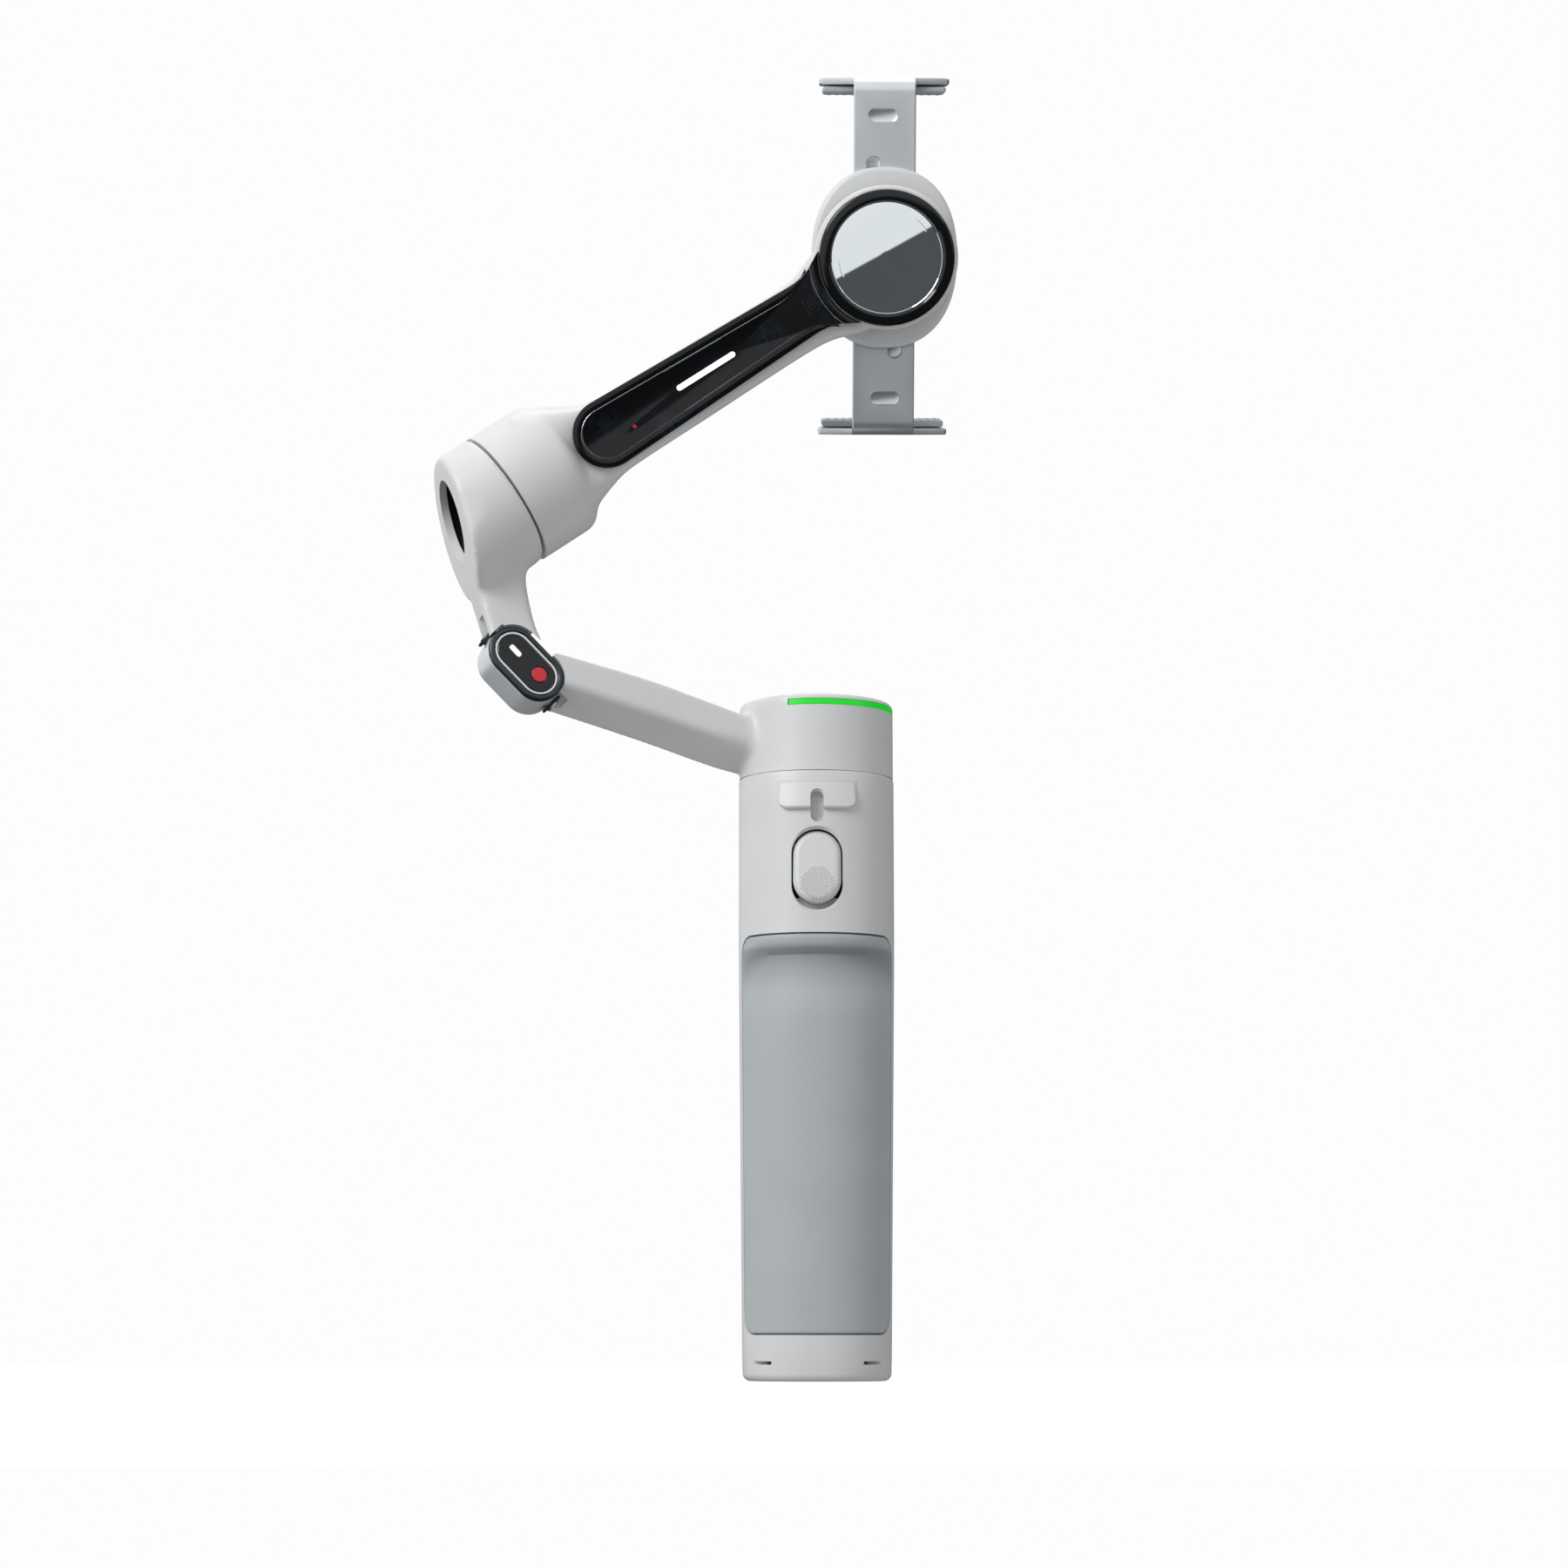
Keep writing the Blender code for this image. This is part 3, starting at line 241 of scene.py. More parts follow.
def relaxed(thing, passes, centre=None, reach=0.0):
    """Lets a skin settle. With a centre, only the stretch within reach (mm) of it does."""
    step = thing.modifiers.new("relax", "SMOOTH")
    step.iterations = passes
    if centre:
        group = thing.vertex_groups.new(name="near")
        for vertex in thing.data.vertices:
            share = 1 - (vertex.co - Vector(centre)).length / (reach * MM)
            if share > 0:
                group.add([vertex.index], share * share * (3 - 2 * share), "REPLACE")
        step.vertex_group = group.name
    applied(thing)
    thing.vertex_groups.clear()
    return thing


def fused(thing, others, grain, passes):
    """One flowing skin over several bodies; grain is the size of its faces in mm."""
    combined(thing, others, "UNION")
    step = thing.modifiers.new("remake", "REMESH")
    step.mode = "VOXEL"
    step.voxel_size = grain * MM
    applied(thing)
    return relaxed(thing, passes)


# %% [markdown]
# ## Finishes
# Each finish starts from the real material: its colour as an sRGB hex value, its usual gloss, and a
# grain whose size is worked out in millimetres from how the surface was made. The patterns read
# object coordinates, which are metres here, so a noise of 1 mm grain has a scale of 1000.

# %% Tools for finishes


def largest(thing):
    """Keep only the largest connected piece of a mesh."""
    bm = bmesh.new()
    bm.from_mesh(thing.data)
    left, islands = set(bm.verts), []
    while left:
        grown, front = set(), [left.pop()]
        while front:
            vertex = front.pop()
            grown.add(vertex)
            beside = {edge.other_vert(vertex) for edge in vertex.link_edges} & left
            left -= beside
            front += beside
        islands.append(grown)
    keep = max(islands, key=len)
    bmesh.ops.delete(bm, geom=[v for v in bm.verts if v not in keep], context="VERTS")
    bm.to_mesh(thing.data)
    bm.free()


def linear(code):
    """Turns an sRGB hex value into the linear colour that a shader wants."""
    values = [int(code[i:i + 2], 16) / 255 for i in (1, 3, 5)]
    return (*[v / 12.92 if v <= 0.04045 else ((v + 0.055) / 1.055) ** 2.4 for v in values], 1.0)


def add(tree, kind, inputs=None, **settings):
    """Adds a node with its settings; an input is given a value or linked to another's output."""
    node = tree.nodes.new(kind)
    for name, value in settings.items():
        setattr(node, name, value)
    for name, value in (inputs or {}).items():
        if isinstance(value, bpy.types.NodeSocket):
            tree.links.new(value, node.inputs[name])
        else:
            node.inputs[name].default_value = value
    return node


def new_finish(name, colour, roughness, metallic=0.0, **sockets):
    """A named material, its node tree and its shader, with plain values on the sockets."""
    made = bpy.data.materials.new(name)
    made.use_nodes = True
    shader = made.node_tree.nodes["Principled BSDF"]
    shader.inputs["Base Color"].default_value = linear(colour)
    shader.inputs["Roughness"].default_value = roughness
    shader.inputs["Metallic"].default_value = metallic
    for label, value in sockets.items():
        shader.inputs[label.replace("_", " ")].default_value = value
    return made, made.node_tree, shader


def grained(name, dark, light, roughness, grain, relief, metallic=0.0, stretch=(1, 1, 1), **sockets):
    """A surface with a fine grain (mm) and relief (thousandths of a mm), and a slow drift of colour."""
    made, tree, shader = new_finish(name, light, roughness, metallic, **sockets)
    where = add(tree, "ShaderNodeTexCoord").outputs["Object"]
    where = add(tree, "ShaderNodeMapping", {"Vector": where, "Scale": stretch}).outputs[0]
    fine = add(tree, "ShaderNodeTexNoise", {"Vector": where, "Scale": 1 / (grain * MM), "Detail": 3.0})
    slow = add(tree, "ShaderNodeTexNoise", {"Vector": where, "Scale": 1 / (14 * MM), "Detail": 2.0})
    tint = add(tree, "ShaderNodeMix", {"Factor": slow.outputs[0]}, data_type="RGBA")
    tint.inputs[6].default_value = linear(dark)
    tint.inputs[7].default_value = linear(light)
    tree.links.new(tint.outputs[2], shader.inputs["Base Color"])
    gloss = add(tree, "ShaderNodeMapRange", {
        "Value": fine.outputs[0], "From Min": 0.3, "From Max": 0.7,
        "To Min": roughness * 0.92, "To Max": min(1.0, roughness * 1.08)})
    tree.links.new(gloss.outputs[0], shader.inputs["Roughness"])
    bump = add(tree, "ShaderNodeBump", {"Height": fine.outputs[0], "Distance": relief * MM / 1000})
    tree.links.new(bump.outputs[0], shader.inputs["Normal"])
    return made


# %% Moulded plastics and rubber
# Polycarbonate blend from a spark-eroded mould: a soft sheen with no clear reflection. The real
# grain is about 0.1 mm; it is drawn at 0.6 mm so that it can show at all.
SHELL = grained("moulded_shell", "#cfd0d1", "#d9dadb", 0.42, 0.6, 14)
# Soft-touch silicone, darker than the shell, with a dry velvety face.
GRIP = grained("soft_touch_silicone", "#a9aeb1", "#b3b8ba", 0.62, 0.7, 26, Sheen_Weight=0.15)
# The finger hollow hardly shows by its shape alone in this soft light, so the silicone is tinted
# darker in a band across it, deepest under the lip: this is painted shade.
tree = GRIP.node_tree
shader = tree.nodes["Principled BSDF"]
height = add(tree, "ShaderNodeSeparateXYZ", {0: add(tree, "ShaderNodeTexCoord").outputs["Object"]}).outputs[2]
fade = add(tree, "ShaderNodeMapRange", {
    "Value": height, "From Min": 80 * MM, "From Max": 89.5 * MM, "To Min": 0.0, "To Max": 0.42},
    interpolation_type="SMOOTHSTEP")
lid = add(tree, "ShaderNodeMapRange", {
    "Value": height, "From Min": 89.8 * MM, "From Max": 91.6 * MM, "To Min": 1.0, "To Max": 0.0},
    interpolation_type="SMOOTHSTEP")
depth = add(tree, "ShaderNodeMath", {0: fade.outputs[0], 1: lid.outputs[0]}, operation="MULTIPLY")
# Painted shade: the silicone's colour is mixed towards dark grey across the finger hollow.
hollow_painted_shade = add(tree, "ShaderNodeMix", {"Factor": depth.outputs[0]}, data_type="RGBA")
tree.links.new(shader.inputs["Base Color"].links[0].from_socket, hollow_painted_shade.inputs[6])
hollow_painted_shade.inputs[7].default_value = linear("#43474a")
tree.links.new(hollow_painted_shade.outputs[2], shader.inputs["Base Color"])
PAD = grained("jaw_rubber", "#a4a8aa", "#b0b4b6", 0.7, 0.8, 30)
DARK = grained("dark_nylon", "#111214", "#1b1c1f", 0.42, 0.5, 16)
GASKET = grained("black_rubber", "#090a0b", "#121314", 0.6, 0.6, 20)
WHITE = grained("white_inlay", "#dcdfdf", "#f0f2f2", 0.35, 0.5, 4)
RED = grained("red_key_cap", "#c22b34", "#d8323c", 0.38, 0.7, 6)
CELL = grained("shrink_sleeve", "#20406f", "#2b5590", 0.35, 1.4, 20)

# %% [markdown]
# Anodised aluminium is blasted with fine beads before it is dyed: light falls off softly on it and
# it has no lines. Turned or ground steel keeps fine lines along the tool's way, so its grain is
# drawn out twelve times longer than it is wide.

# %% Metals
ALUMINIUM = grained("blasted_aluminium", "#d6d8da", "#e4e6e8", 0.36, 0.5, 9, 0.85)
BLOCK = grained("satin_block", "#d4d6d8", "#e0e2e3", 0.32, 0.5, 9, 0.35)
BEZEL = grained("dyed_aluminium", "#3c3f42", "#4a4d50", 0.36, 0.5, 8, 0.85)
STEEL = grained("ground_steel", "#9a9c9e", "#b8babb", 0.26, 0.5, 6, 1.0, stretch=(1, 1, 12))
BRASS = grained("turned_brass", "#b08d4a", "#c9a55c", 0.28, 0.5, 5, 1.0, stretch=(1, 1, 12))
MIRROR = grained("silvered_disc", "#e6eaec", "#eff2f3", 0.025, 9.0, 0.3, 1.0)

# %% [markdown]
# The cover of the head arm is smoked polycarbonate over a black mask: nearly black, with a lacquer
# gloss, and under it the ghost of a circuit board. The ghost is a grid of small cells that are only
# a little lighter than the black round them.

# %% Smoked cover
COVER, tree, shader = new_finish(
    "smoked_polycarbonate", "#0a0c10", 0.16, Coat_Weight=0.25, Coat_Roughness=0.05, Specular_IOR_Level=0.25)
where = add(tree, "ShaderNodeTexCoord").outputs["Object"]
turned = add(tree, "ShaderNodeMapping", {"Vector": where, "Rotation": (0, math.radians(-32), 0)})
cells = add(tree, "ShaderNodeTexVoronoi", {
    "Vector": turned.outputs[0], "Scale": 1 / (1.6 * MM), "Randomness": 0.75},
    distance="CHEBYCHEV")
patches = add(tree, "ShaderNodeTexNoise", {"Vector": where, "Scale": 1 / (9 * MM), "Detail": 1.0})
shown = add(tree, "ShaderNodeMapRange", {
    "Value": patches.outputs[0], "From Min": 0.52, "From Max": 0.68, "To Min": 0.0, "To Max": 0.5})
edge = add(tree, "ShaderNodeMapRange", {
    "Value": cells.outputs["Distance"], "From Min": 0.3, "From Max": 0.42})
ghost = add(tree, "ShaderNodeMath", {0: shown.outputs[0], 1: edge.outputs[0]}, operation="MULTIPLY")
tint = add(tree, "ShaderNodeMix", {"Factor": ghost.outputs[0]}, data_type="RGBA")
tint.inputs[6].default_value = linear("#07090c")
tint.inputs[7].default_value = linear("#1d222a")
tree.links.new(tint.outputs[2], shader.inputs["Base Color"])
GLOSS = grained("piano_black", "#07080a", "#0b0d10", 0.1, 6.0, 0.4, Coat_Weight=0.3, Specular_IOR_Level=0.3)

# %% Wound coils and circuit board
COIL, tree, shader = new_finish("enamelled_wire", "#a4592c", 0.32, 0.9)
where = add(tree, "ShaderNodeTexCoord").outputs["Object"]
strands = add(tree, "ShaderNodeTexWave", {
    "Vector": where, "Scale": 1 / (3.2 * MM), "Distortion": 0.6}, bands_direction="Z")
bump = add(tree, "ShaderNodeBump", {"Height": strands.outputs[0], "Distance": 0.1 * MM})
tree.links.new(bump.outputs[0], shader.inputs["Normal"])

BOARD, tree, shader = new_finish("solder_mask", "#0f3d24", 0.35, IOR=1.55)
where = add(tree, "ShaderNodeTexCoord").outputs["Object"]
tracks = add(tree, "ShaderNodeTexBrick", {
    "Vector": where, "Scale": 1 / (4 * MM), "Mortar Size": 0.03,
    "Color1": linear("#0e3a22"), "Color2": linear("#124a2b"), "Mortar": linear("#a98b46")})
tree.links.new(tracks.outputs[0], shader.inputs["Base Color"])

# %% [markdown]
# The light guides are milky plastic lit from behind, so most of what the eye gets is emission.

# %% Lights on the object
GREEN, tree, shader = new_finish(
    "green_light_guide", "#0fae22", 0.3, Emission_Color=linear("#12d828"), Emission_Strength=0.5)
LAMP, tree, shader = new_finish(
    "white_light_guide", "#f2f6f8", 0.3, Emission_Color=linear("#f4f8fa"), Emission_Strength=0.7)
SPARK, tree, shader = new_finish(
    "red_indicator", "#7a1016", 0.3, Emission_Color=linear("#b01820"), Emission_Strength=0.5)

# %% [markdown]
# ## Fitting a piece
# A finished piece gets its material, its shading and the body that it moves with, and the CAD nodes
# that it stands for are hidden.

# %% Fit and refinish


def fit(thing, finish, body, slot, *stands_for, crease=35.0):
    """Finishes a piece, sets it on the body that it moves with and hides the CAD nodes it stands for."""
    thing.data.materials.clear()
    thing.data.materials.append(finish)
    thing.data.polygons.foreach_set("material_index", [0] * len(thing.data.polygons))
    thing.data.shade_smooth()
    thing.data.set_sharp_from_angle(angle=math.radians(crease))
    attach(thing, body)
    if stands_for:
        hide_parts(*stands_for)
    size = [round(v / MM, 1) for v in thing.dimensions]
    print(f"{thing.name}: {len(thing.data.polygons)} faces, {size} mm, on {body}")
    return thing


def refinish(finish, *names):
    """Gives CAD nodes whose shape is right a better material."""
    for name in names:
        for holder in nodes[name].material_slots:
            holder.material = finish


# %% [markdown]
# ## The handle's two shells
# In section the handle is a superellipse, a circle pushed a little towards a square, and below
# 90 mm it narrows slowly towards its base. The shells follow that rule, so they are computed point
# by point and not modelled by eye.

# %% Handle surface
HALF_X, HALF_Y = 16.7, 17.7
TAPER, TAPER_START = 0.055, 90.0
POWER = 2.2
WALL = 2.2


def handle_point(angle, z, inset=0.0):
    """A point (m) of the handle's skin at an angle (degrees) and height (mm), moved in by inset."""
    scale = 1.0 - TAPER * max(0.0, TAPER_START - z) / TAPER_START
    c, s = math.cos(math.radians(angle)), math.sin(math.radians(angle))
    x = math.copysign((HALF_X * scale - inset) * abs(c) ** (2 / POWER), c)
    y = math.copysign((HALF_Y * scale - inset) * abs(s) ** (2 / POWER), s)
    return Vector((x, y, z)) * MM


def shell_half(name, side):
    """One half of the casing, from its rounded base to its rounded top edge."""
    levels = [(1.6 * (1 - math.cos(a)), 1.6 * (1 - math.sin(a)))
              for a in (math.radians(15 * i) for i in range(7))]
    levels += [(z, 0.0) for z in range(8, 128, 6)] + [(127.5, 0.0), (127.85, 0.1), (128.0, 0.4)]
    loops = []
    for z, inset in levels:
        outer = [handle_point(side * 180 * i / 90, z, inset) for i in range(91)]
        inner = [handle_point(side * 180 * i / 90, z, WALL) for i in range(90, -1, -1)]
        for point in outer + inner:
            point.y += side * GAP / 2
        loops.append(outer + inner)
    return solid(name, skin(loops))


front = shell_half("front_casing", -1)
back = shell_half("back_casing", 1)

# %% [markdown]
# The grip pad and its recess are patches of the same skin. A patch is a grid over the front of the
# handle with rounded corners, whose depth under the skin is any rule of its two directions. Near its
# border the rows are closer together, so that the edge can roll over.

# %% Patches of the skin
ROLL_OVER = (0.0, 0.12, 0.3, 0.6)


def spread(length, count):
    """Positions from 0 to length, evenly spaced but with four close ones at each end."""
    middle = [length * i / count for i in range(1, count)]
    ends = list(ROLL_OVER)
    return ends + [v for v in middle if 0.9 < v < length - 0.9] + [length - v for v in ends[::-1]]


def patch(low, high, half_angle, corner, depth, inner, columns=56, rows=60, soft_top=True, follow=0.0):
    """A curved plate in the front skin. depth(side, z, edge) is its inset; edge is the way to its rim.

    follow is how much of the finger hollow its inner face takes on.
    """
    span = math.radians(half_angle) * HALF_X
    grids = ([], [])
    for across in spread(2 * span, columns):
        side = across - span
        past = max(0.0, abs(side) - span + corner)
        drop = corner - math.sqrt(max(0.0, corner * corner - past * past))
        top = high - (drop if soft_top else 0.0)
        bottom = low + drop
        for grid, face in zip(grids, (True, False)):
            column = []
            for share in spread(high - low, rows):
                z = bottom + (top - bottom) * share / (high - low)
                edge = min(span - abs(side), z - bottom, top - z)
                inset = depth(side, z, edge) if face else inner + follow * hollow(side, z)
                column.append(handle_point(-90 + half_angle * side / span, z, inset))
            grid.append(column)
    bm = bmesh.new()
    front, back = ([[bm.verts.new(p) for p in column] for column in grid] for grid in grids)
    last, end = len(front) - 1, len(front[0]) - 1
    for i in range(last):
        for j in range(end):
            bm.faces.new((front[i][j], front[i + 1][j], front[i + 1][j + 1], front[i][j + 1]))
            bm.faces.new((back[i][j], back[i][j + 1], back[i + 1][j + 1], back[i + 1][j]))
        for j in (0, end):
            bm.faces.new((front[i][j], back[i][j], back[i + 1][j], front[i + 1][j]))
    for i in (0, last):
        for j in range(end):
            bm.faces.new((front[i][j], front[i][j + 1], back[i][j + 1], back[i][j]))
    return bm


def rolled(edge, radius=0.4):
    """How far a rounded rim has dropped at a distance from its edge."""
    left = radius - min(radius, max(0.0, edge))
    return radius - math.sqrt(radius * radius - left * left)


# %% [markdown]
# ## The grip pad
# The pad is one silicone moulding, thin at its rim. Near the top it has a hollow for the forefinger:
# steep under its lip, then running out downwards, and shallower towards both sides.

# %% Grip pad
PAD_LOW, PAD_HIGH, PAD_ANGLE, PAD_CORNER = 9.9, 93.2, 72.0, 4.5
LIP, HOLLOW_FOOT, HOLLOW_DEPTH = 91.6, 76.0, 3.6


def hollow(side, z):
    """Depth of the finger hollow."""
    past = min(8.0, max(0.0, abs(side) - 12.5))
    lip = LIP - 8.0 + math.sqrt(64.0 - past * past)
    if z > lip or z < HOLLOW_FOOT:
        return 0.0
    rise = min(1.0, (lip - z) / 3.6)
    fade = ((z - HOLLOW_FOOT) / (lip - HOLLOW_FOOT)) ** 1.6
    width = max(0.0, 1 - (side / 20.0) ** 4)
    return HOLLOW_DEPTH * rise * rise * (3 - 2 * rise) * fade * width


pad = solid("grip_skin", patch(
    PAD_LOW, PAD_HIGH, PAD_ANGLE, PAD_CORNER,
    lambda side, z, edge: rolled(edge) + hollow(side, z), 1.5, follow=0.9))
fit(pad, GRIP, "handle", "rubber", "grip_pad")

# %% Recess, trigger opening and base notches in the front shell
recess = solid("recess", patch(
    PAD_LOW - 0.3, PAD_HIGH + 0.3, PAD_ANGLE + 1, PAD_CORNER + 0.3, lambda *_: -2.0, 1.65,
    columns=40, rows=40, follow=0.95))
TRIGGER_LOW, TRIGGER_HIGH, TRIGGER_HALF = 98.3, 115.5, 5.4
trigger_middle = (TRIGGER_LOW + TRIGGER_HIGH) / 2
trigger_reach = (TRIGGER_HIGH - TRIGGER_LOW) / 2 - TRIGGER_HALF
opening = solid("opening", bar(
    [(TRIGGER_HALF, 12), (TRIGGER_HALF, 17.1), (TRIGGER_HALF + 0.5, 17.6), (TRIGGER_HALF + 0.5, 22)],
    trigger_reach, math.pi / 2), facing(-1, trigger_middle * MM))
thumb_groove = solid("groove", bar([(1.35, 15.9), (1.35, 22)], 1.9, math.pi / 2), facing(-1, 120.2 * MM))
notches = [
    solid("notch", slab((side * 12.4 - 2.8, -20, 3.5), (side * 12.4 + 2.8, -10.2, 4.2)))
    for side in (1, -1)]
combined(front, [recess, opening, thumb_groove] + notches, "DIFFERENCE")
fit(front, SHELL, "handle", "shell", "front_shell")

# %% [markdown]
# ## The user's side
# The back shell takes the control wheel, two keys and the charging socket. Each opening gets a small
# bevel, as a mould gives it, so its rim catches a line of light.

# %% Openings in the back shell
WHEEL_HEIGHT, RECORD_HEIGHT, POWER_HEIGHT, USB_HEIGHT = 104.0, 86.0, 74.0, 57.0


def mouth(radius, reach, height, bevel=0.35):
    """A cutter for an opening in the back with a bevelled rim."""
    profile = [(radius, 12), (radius, 17.2), (radius + bevel, 17.2 + bevel), (radius + bevel, 22)]
    return solid("mouth", bar(profile, reach), facing(1, height * MM))


combined(back, [
    mouth(10.3, 0.0, WHEEL_HEIGHT), mouth(3.8, 0.0, RECORD_HEIGHT), mouth(2.5, 2.6, POWER_HEIGHT),
    mouth(2.0, 3.2, USB_HEIGHT)], "DIFFERENCE")
fit(back, SHELL, "handle", "shell", "back_shell")

# %% [markdown]
# ## Repeats
# A knurled rim, the hatch on the trigger and the ribs of a pad are one small shape repeated by a
# rule. Geometry Nodes do that: the object's own mesh is the shape, the tree makes the points, and
# Realize Instances turns the copies into real faces.

# %% Trees that repeat a shape
KINDS = {int: "NodeSocketInt", float: "NodeSocketFloat"}


def repeat_tree(name, sizes, lay_out):
    """A tree with named inputs. lay_out(tree, given) returns the points and, if any, a rotation."""
    tree = bpy.data.node_groups.new(name, "GeometryNodeTree")
    tree.interface.new_socket("Shape", in_out="INPUT", socket_type="NodeSocketGeometry")
    tree.interface.new_socket("Finish", in_out="INPUT", socket_type="NodeSocketMaterial")
    for label, value in sizes.items():
        made = tree.interface.new_socket(label, in_out="INPUT", socket_type=KINDS[type(value)])
        made.default_value = value
    tree.interface.new_socket("Shape", in_out="OUTPUT", socket_type="NodeSocketGeometry")
    given = add(tree, "NodeGroupInput").outputs
    points, rotation = lay_out(tree, given)
    inputs = {"Points": points, "Instance": given["Shape"]}
    if rotation:
        inputs["Rotation"] = rotation
    copies = add(tree, "GeometryNodeInstanceOnPoints", inputs)
    real = add(tree, "GeometryNodeRealizeInstances", {"Geometry": copies.outputs[0]})
    done = add(tree, "GeometryNodeSetMaterial", {"Geometry": real.outputs[0], "Material": given["Finish"]})
    add(tree, "NodeGroupOutput", {"Shape": done.outputs[0]})
    return tree


def over_disc(tree, given):
    """Points of a square grid that lie within Reach of its middle."""
    side = add(tree, "ShaderNodeMath", {0: given["Pitch"], 1: given["Steps"]}, operation="MULTIPLY")
    count = add(tree, "ShaderNodeMath", {0: given["Steps"], 1: 1.0}, operation="ADD")
    grid = add(tree, "GeometryNodeMeshGrid", {
        "Size X": side.outputs[0], "Size Y": side.outputs[0],
        "Vertices X": count.outputs[0], "Vertices Y": count.outputs[0]})
    where = add(tree, "GeometryNodeInputPosition")
    away = add(tree, "ShaderNodeVectorMath", {0: where.outputs[0]}, operation="LENGTH")
    outside = add(tree, "ShaderNodeMath", {0: away.outputs["Value"], 1: given["Reach"]},
                  operation="GREATER_THAN")
    kept = add(tree, "GeometryNodeDeleteGeometry", {
        "Geometry": grid.outputs[0], "Selection": outside.outputs[0]}, domain="POINT")
    return kept.outputs[0], None


def around_ring(tree, given):
    """Points on a circle, each turned so that the shape's X looks outwards."""
    circle = add(tree, "GeometryNodeMeshCircle", {"Vertices": given["Count"], "Radius": given["Radius"]})
    where = add(tree, "GeometryNodeInputPosition")
    turn = add(tree, "FunctionNodeAlignRotationToVector", {"Vector": where.outputs[0]},
               axis="X", pivot_axis="Z")
    return circle.outputs[0], turn.outputs[0]


def along_row(tree, given):
    """Points in a row along X, centred on the middle."""
    steps = add(tree, "ShaderNodeMath", {0: given["Count"], 1: 1.0}, operation="SUBTRACT")
    length = add(tree, "ShaderNodeMath", {0: steps.outputs[0], 1: given["Pitch"]}, operation="MULTIPLY")
    start = add(tree, "ShaderNodeMath", {0: length.outputs[0], 1: -0.5}, operation="MULTIPLY")
    first = add(tree, "ShaderNodeCombineXYZ", {"X": start.outputs[0]})
    step = add(tree, "ShaderNodeCombineXYZ", {"X": given["Pitch"]})
    row = add(tree, "GeometryNodeMeshLine", {
        "Count": given["Count"], "Start Location": first.outputs[0], "Offset": step.outputs[0]},
        mode="OFFSET")
    return row.outputs[0], None


DISC_TREE = repeat_tree("studs_over_disc", {"Pitch": 0.001, "Reach": 0.004, "Steps": 16}, over_disc)
RING_TREE = repeat_tree("ribs_around_ring", {"Count": 24, "Radius": 0.01}, around_ring)
ROW_TREE = repeat_tree("ribs_along_row", {"Count": 12, "Pitch": 0.001}, along_row)


def repeated(name, tree, shape, place, finish, **sizes):
    """Runs a tree on a small shape and gives the result as one placed mesh."""
    thing = solid(name, shape)
    step = thing.modifiers.new("repeat", "NODES")
    step.node_group = tree
    given = {**sizes, "Finish": finish}
    for item in tree.interface.items_tree:
        if item.in_out == "INPUT" and item.name in given:
            step[item.identifier] = given[item.name]
    applied(thing)
    thing.data.transform(place)
    return thing


# %% [markdown]
# ## Trigger and front tab
# The trigger is a round-ended key, flush at its top and proud at its foot, where the finger pulls.
# A disc of fine pyramids on its foot gives grip.

# %% Trigger
KEY_LOW, KEY_HIGH, KEY_HALF = 99.6, 115.2, 5.1
KEY_PROUD = 1.9


def key_front(z):
    """Depth (mm) of the trigger's flat face at a height (mm)."""
    return -17.0 - KEY_PROUD * (KEY_HIGH - z) / (KEY_HIGH - KEY_LOW)


key_middle = (KEY_LOW + KEY_HIGH) / 2
key_reach = (KEY_HIGH - KEY_LOW) / 2 - KEY_HALF
loops = []
for radius, back_off in [(KEY_HALF, 5.4)] + arc(KEY_HALF - 1.5, -1.5, 1.5, 0, 90, 8):
    depth = back_off if radius == KEY_HALF and back_off > 1 else -back_off
    outline = stadium(key_reach, radius, math.pi / 2, (0, key_middle), 64)
    loops.append([Vector((x, key_front(z) + depth if depth < 2 else -11.4, z)) * MM for x, z in outline])
key = solid("trigger_key", skin(loops))
bore = solid("bore", bar([(1.1, -9), (1.1, 9)]), axis_frame((0, -12.9 * MM, 112.6 * MM), (1, 0, 0)))
combined(key, [solid("tongue", slab((-5.0, -14.6, 97.0), (5.0, -13.6, 101)))], "UNION")
combined(key, [bore], "DIFFERENCE")
fit(key, SHELL, "trigger", "shell", "trigger", crease=30)

# %% Hatch on the trigger
HATCH_HEIGHT = 103.9
stud = skin([
    [(-0.2 * MM, -0.2 * MM, 0), (0.2 * MM, -0.2 * MM, 0), (0.2 * MM, 0.2 * MM, 0), (-0.2 * MM, 0.2 * MM, 0)],
    [(-0.05 * MM, -0.05 * MM, 0.26 * MM), (0.05 * MM, -0.05 * MM, 0.26 * MM),
     (0.05 * MM, 0.05 * MM, 0.26 * MM), (-0.05 * MM, 0.05 * MM, 0.26 * MM)]])
slope = KEY_PROUD / (KEY_HIGH - KEY_LOW)
hatch_place = axis_frame(Vector((0, key_front(HATCH_HEIGHT) + 0.03, HATCH_HEIGHT)) * MM, (0, -1, slope))
hatch = repeated(
    "trigger_hatch", DISC_TREE, stud, hatch_place @ Matrix.Rotation(math.radians(45), 4, "Z"), SHELL,
    Pitch=0.52 * MM, Reach=3.5 * MM, Steps=16)
fit(hatch, SHELL, "trigger", "shell", crease=20)

# %% [markdown]
# The tab above the trigger is a low hood. It starts flush with the shell at its top edge and stands
# proud at its lower edge, with a slot through its middle.

# %% Front tab
TAB_LOW, TAB_HIGH = 119.6, 125.9


def hood(side, z, edge):
    """Inset of the hood's face: flush at the top, proud below, rolled at its rim."""
    proud = 1.5 * ((TAB_HIGH - z) / (TAB_HIGH - TAB_LOW)) ** 0.75
    return -proud * (1 - rolled(edge, 0.6) / 0.6) - 0.02


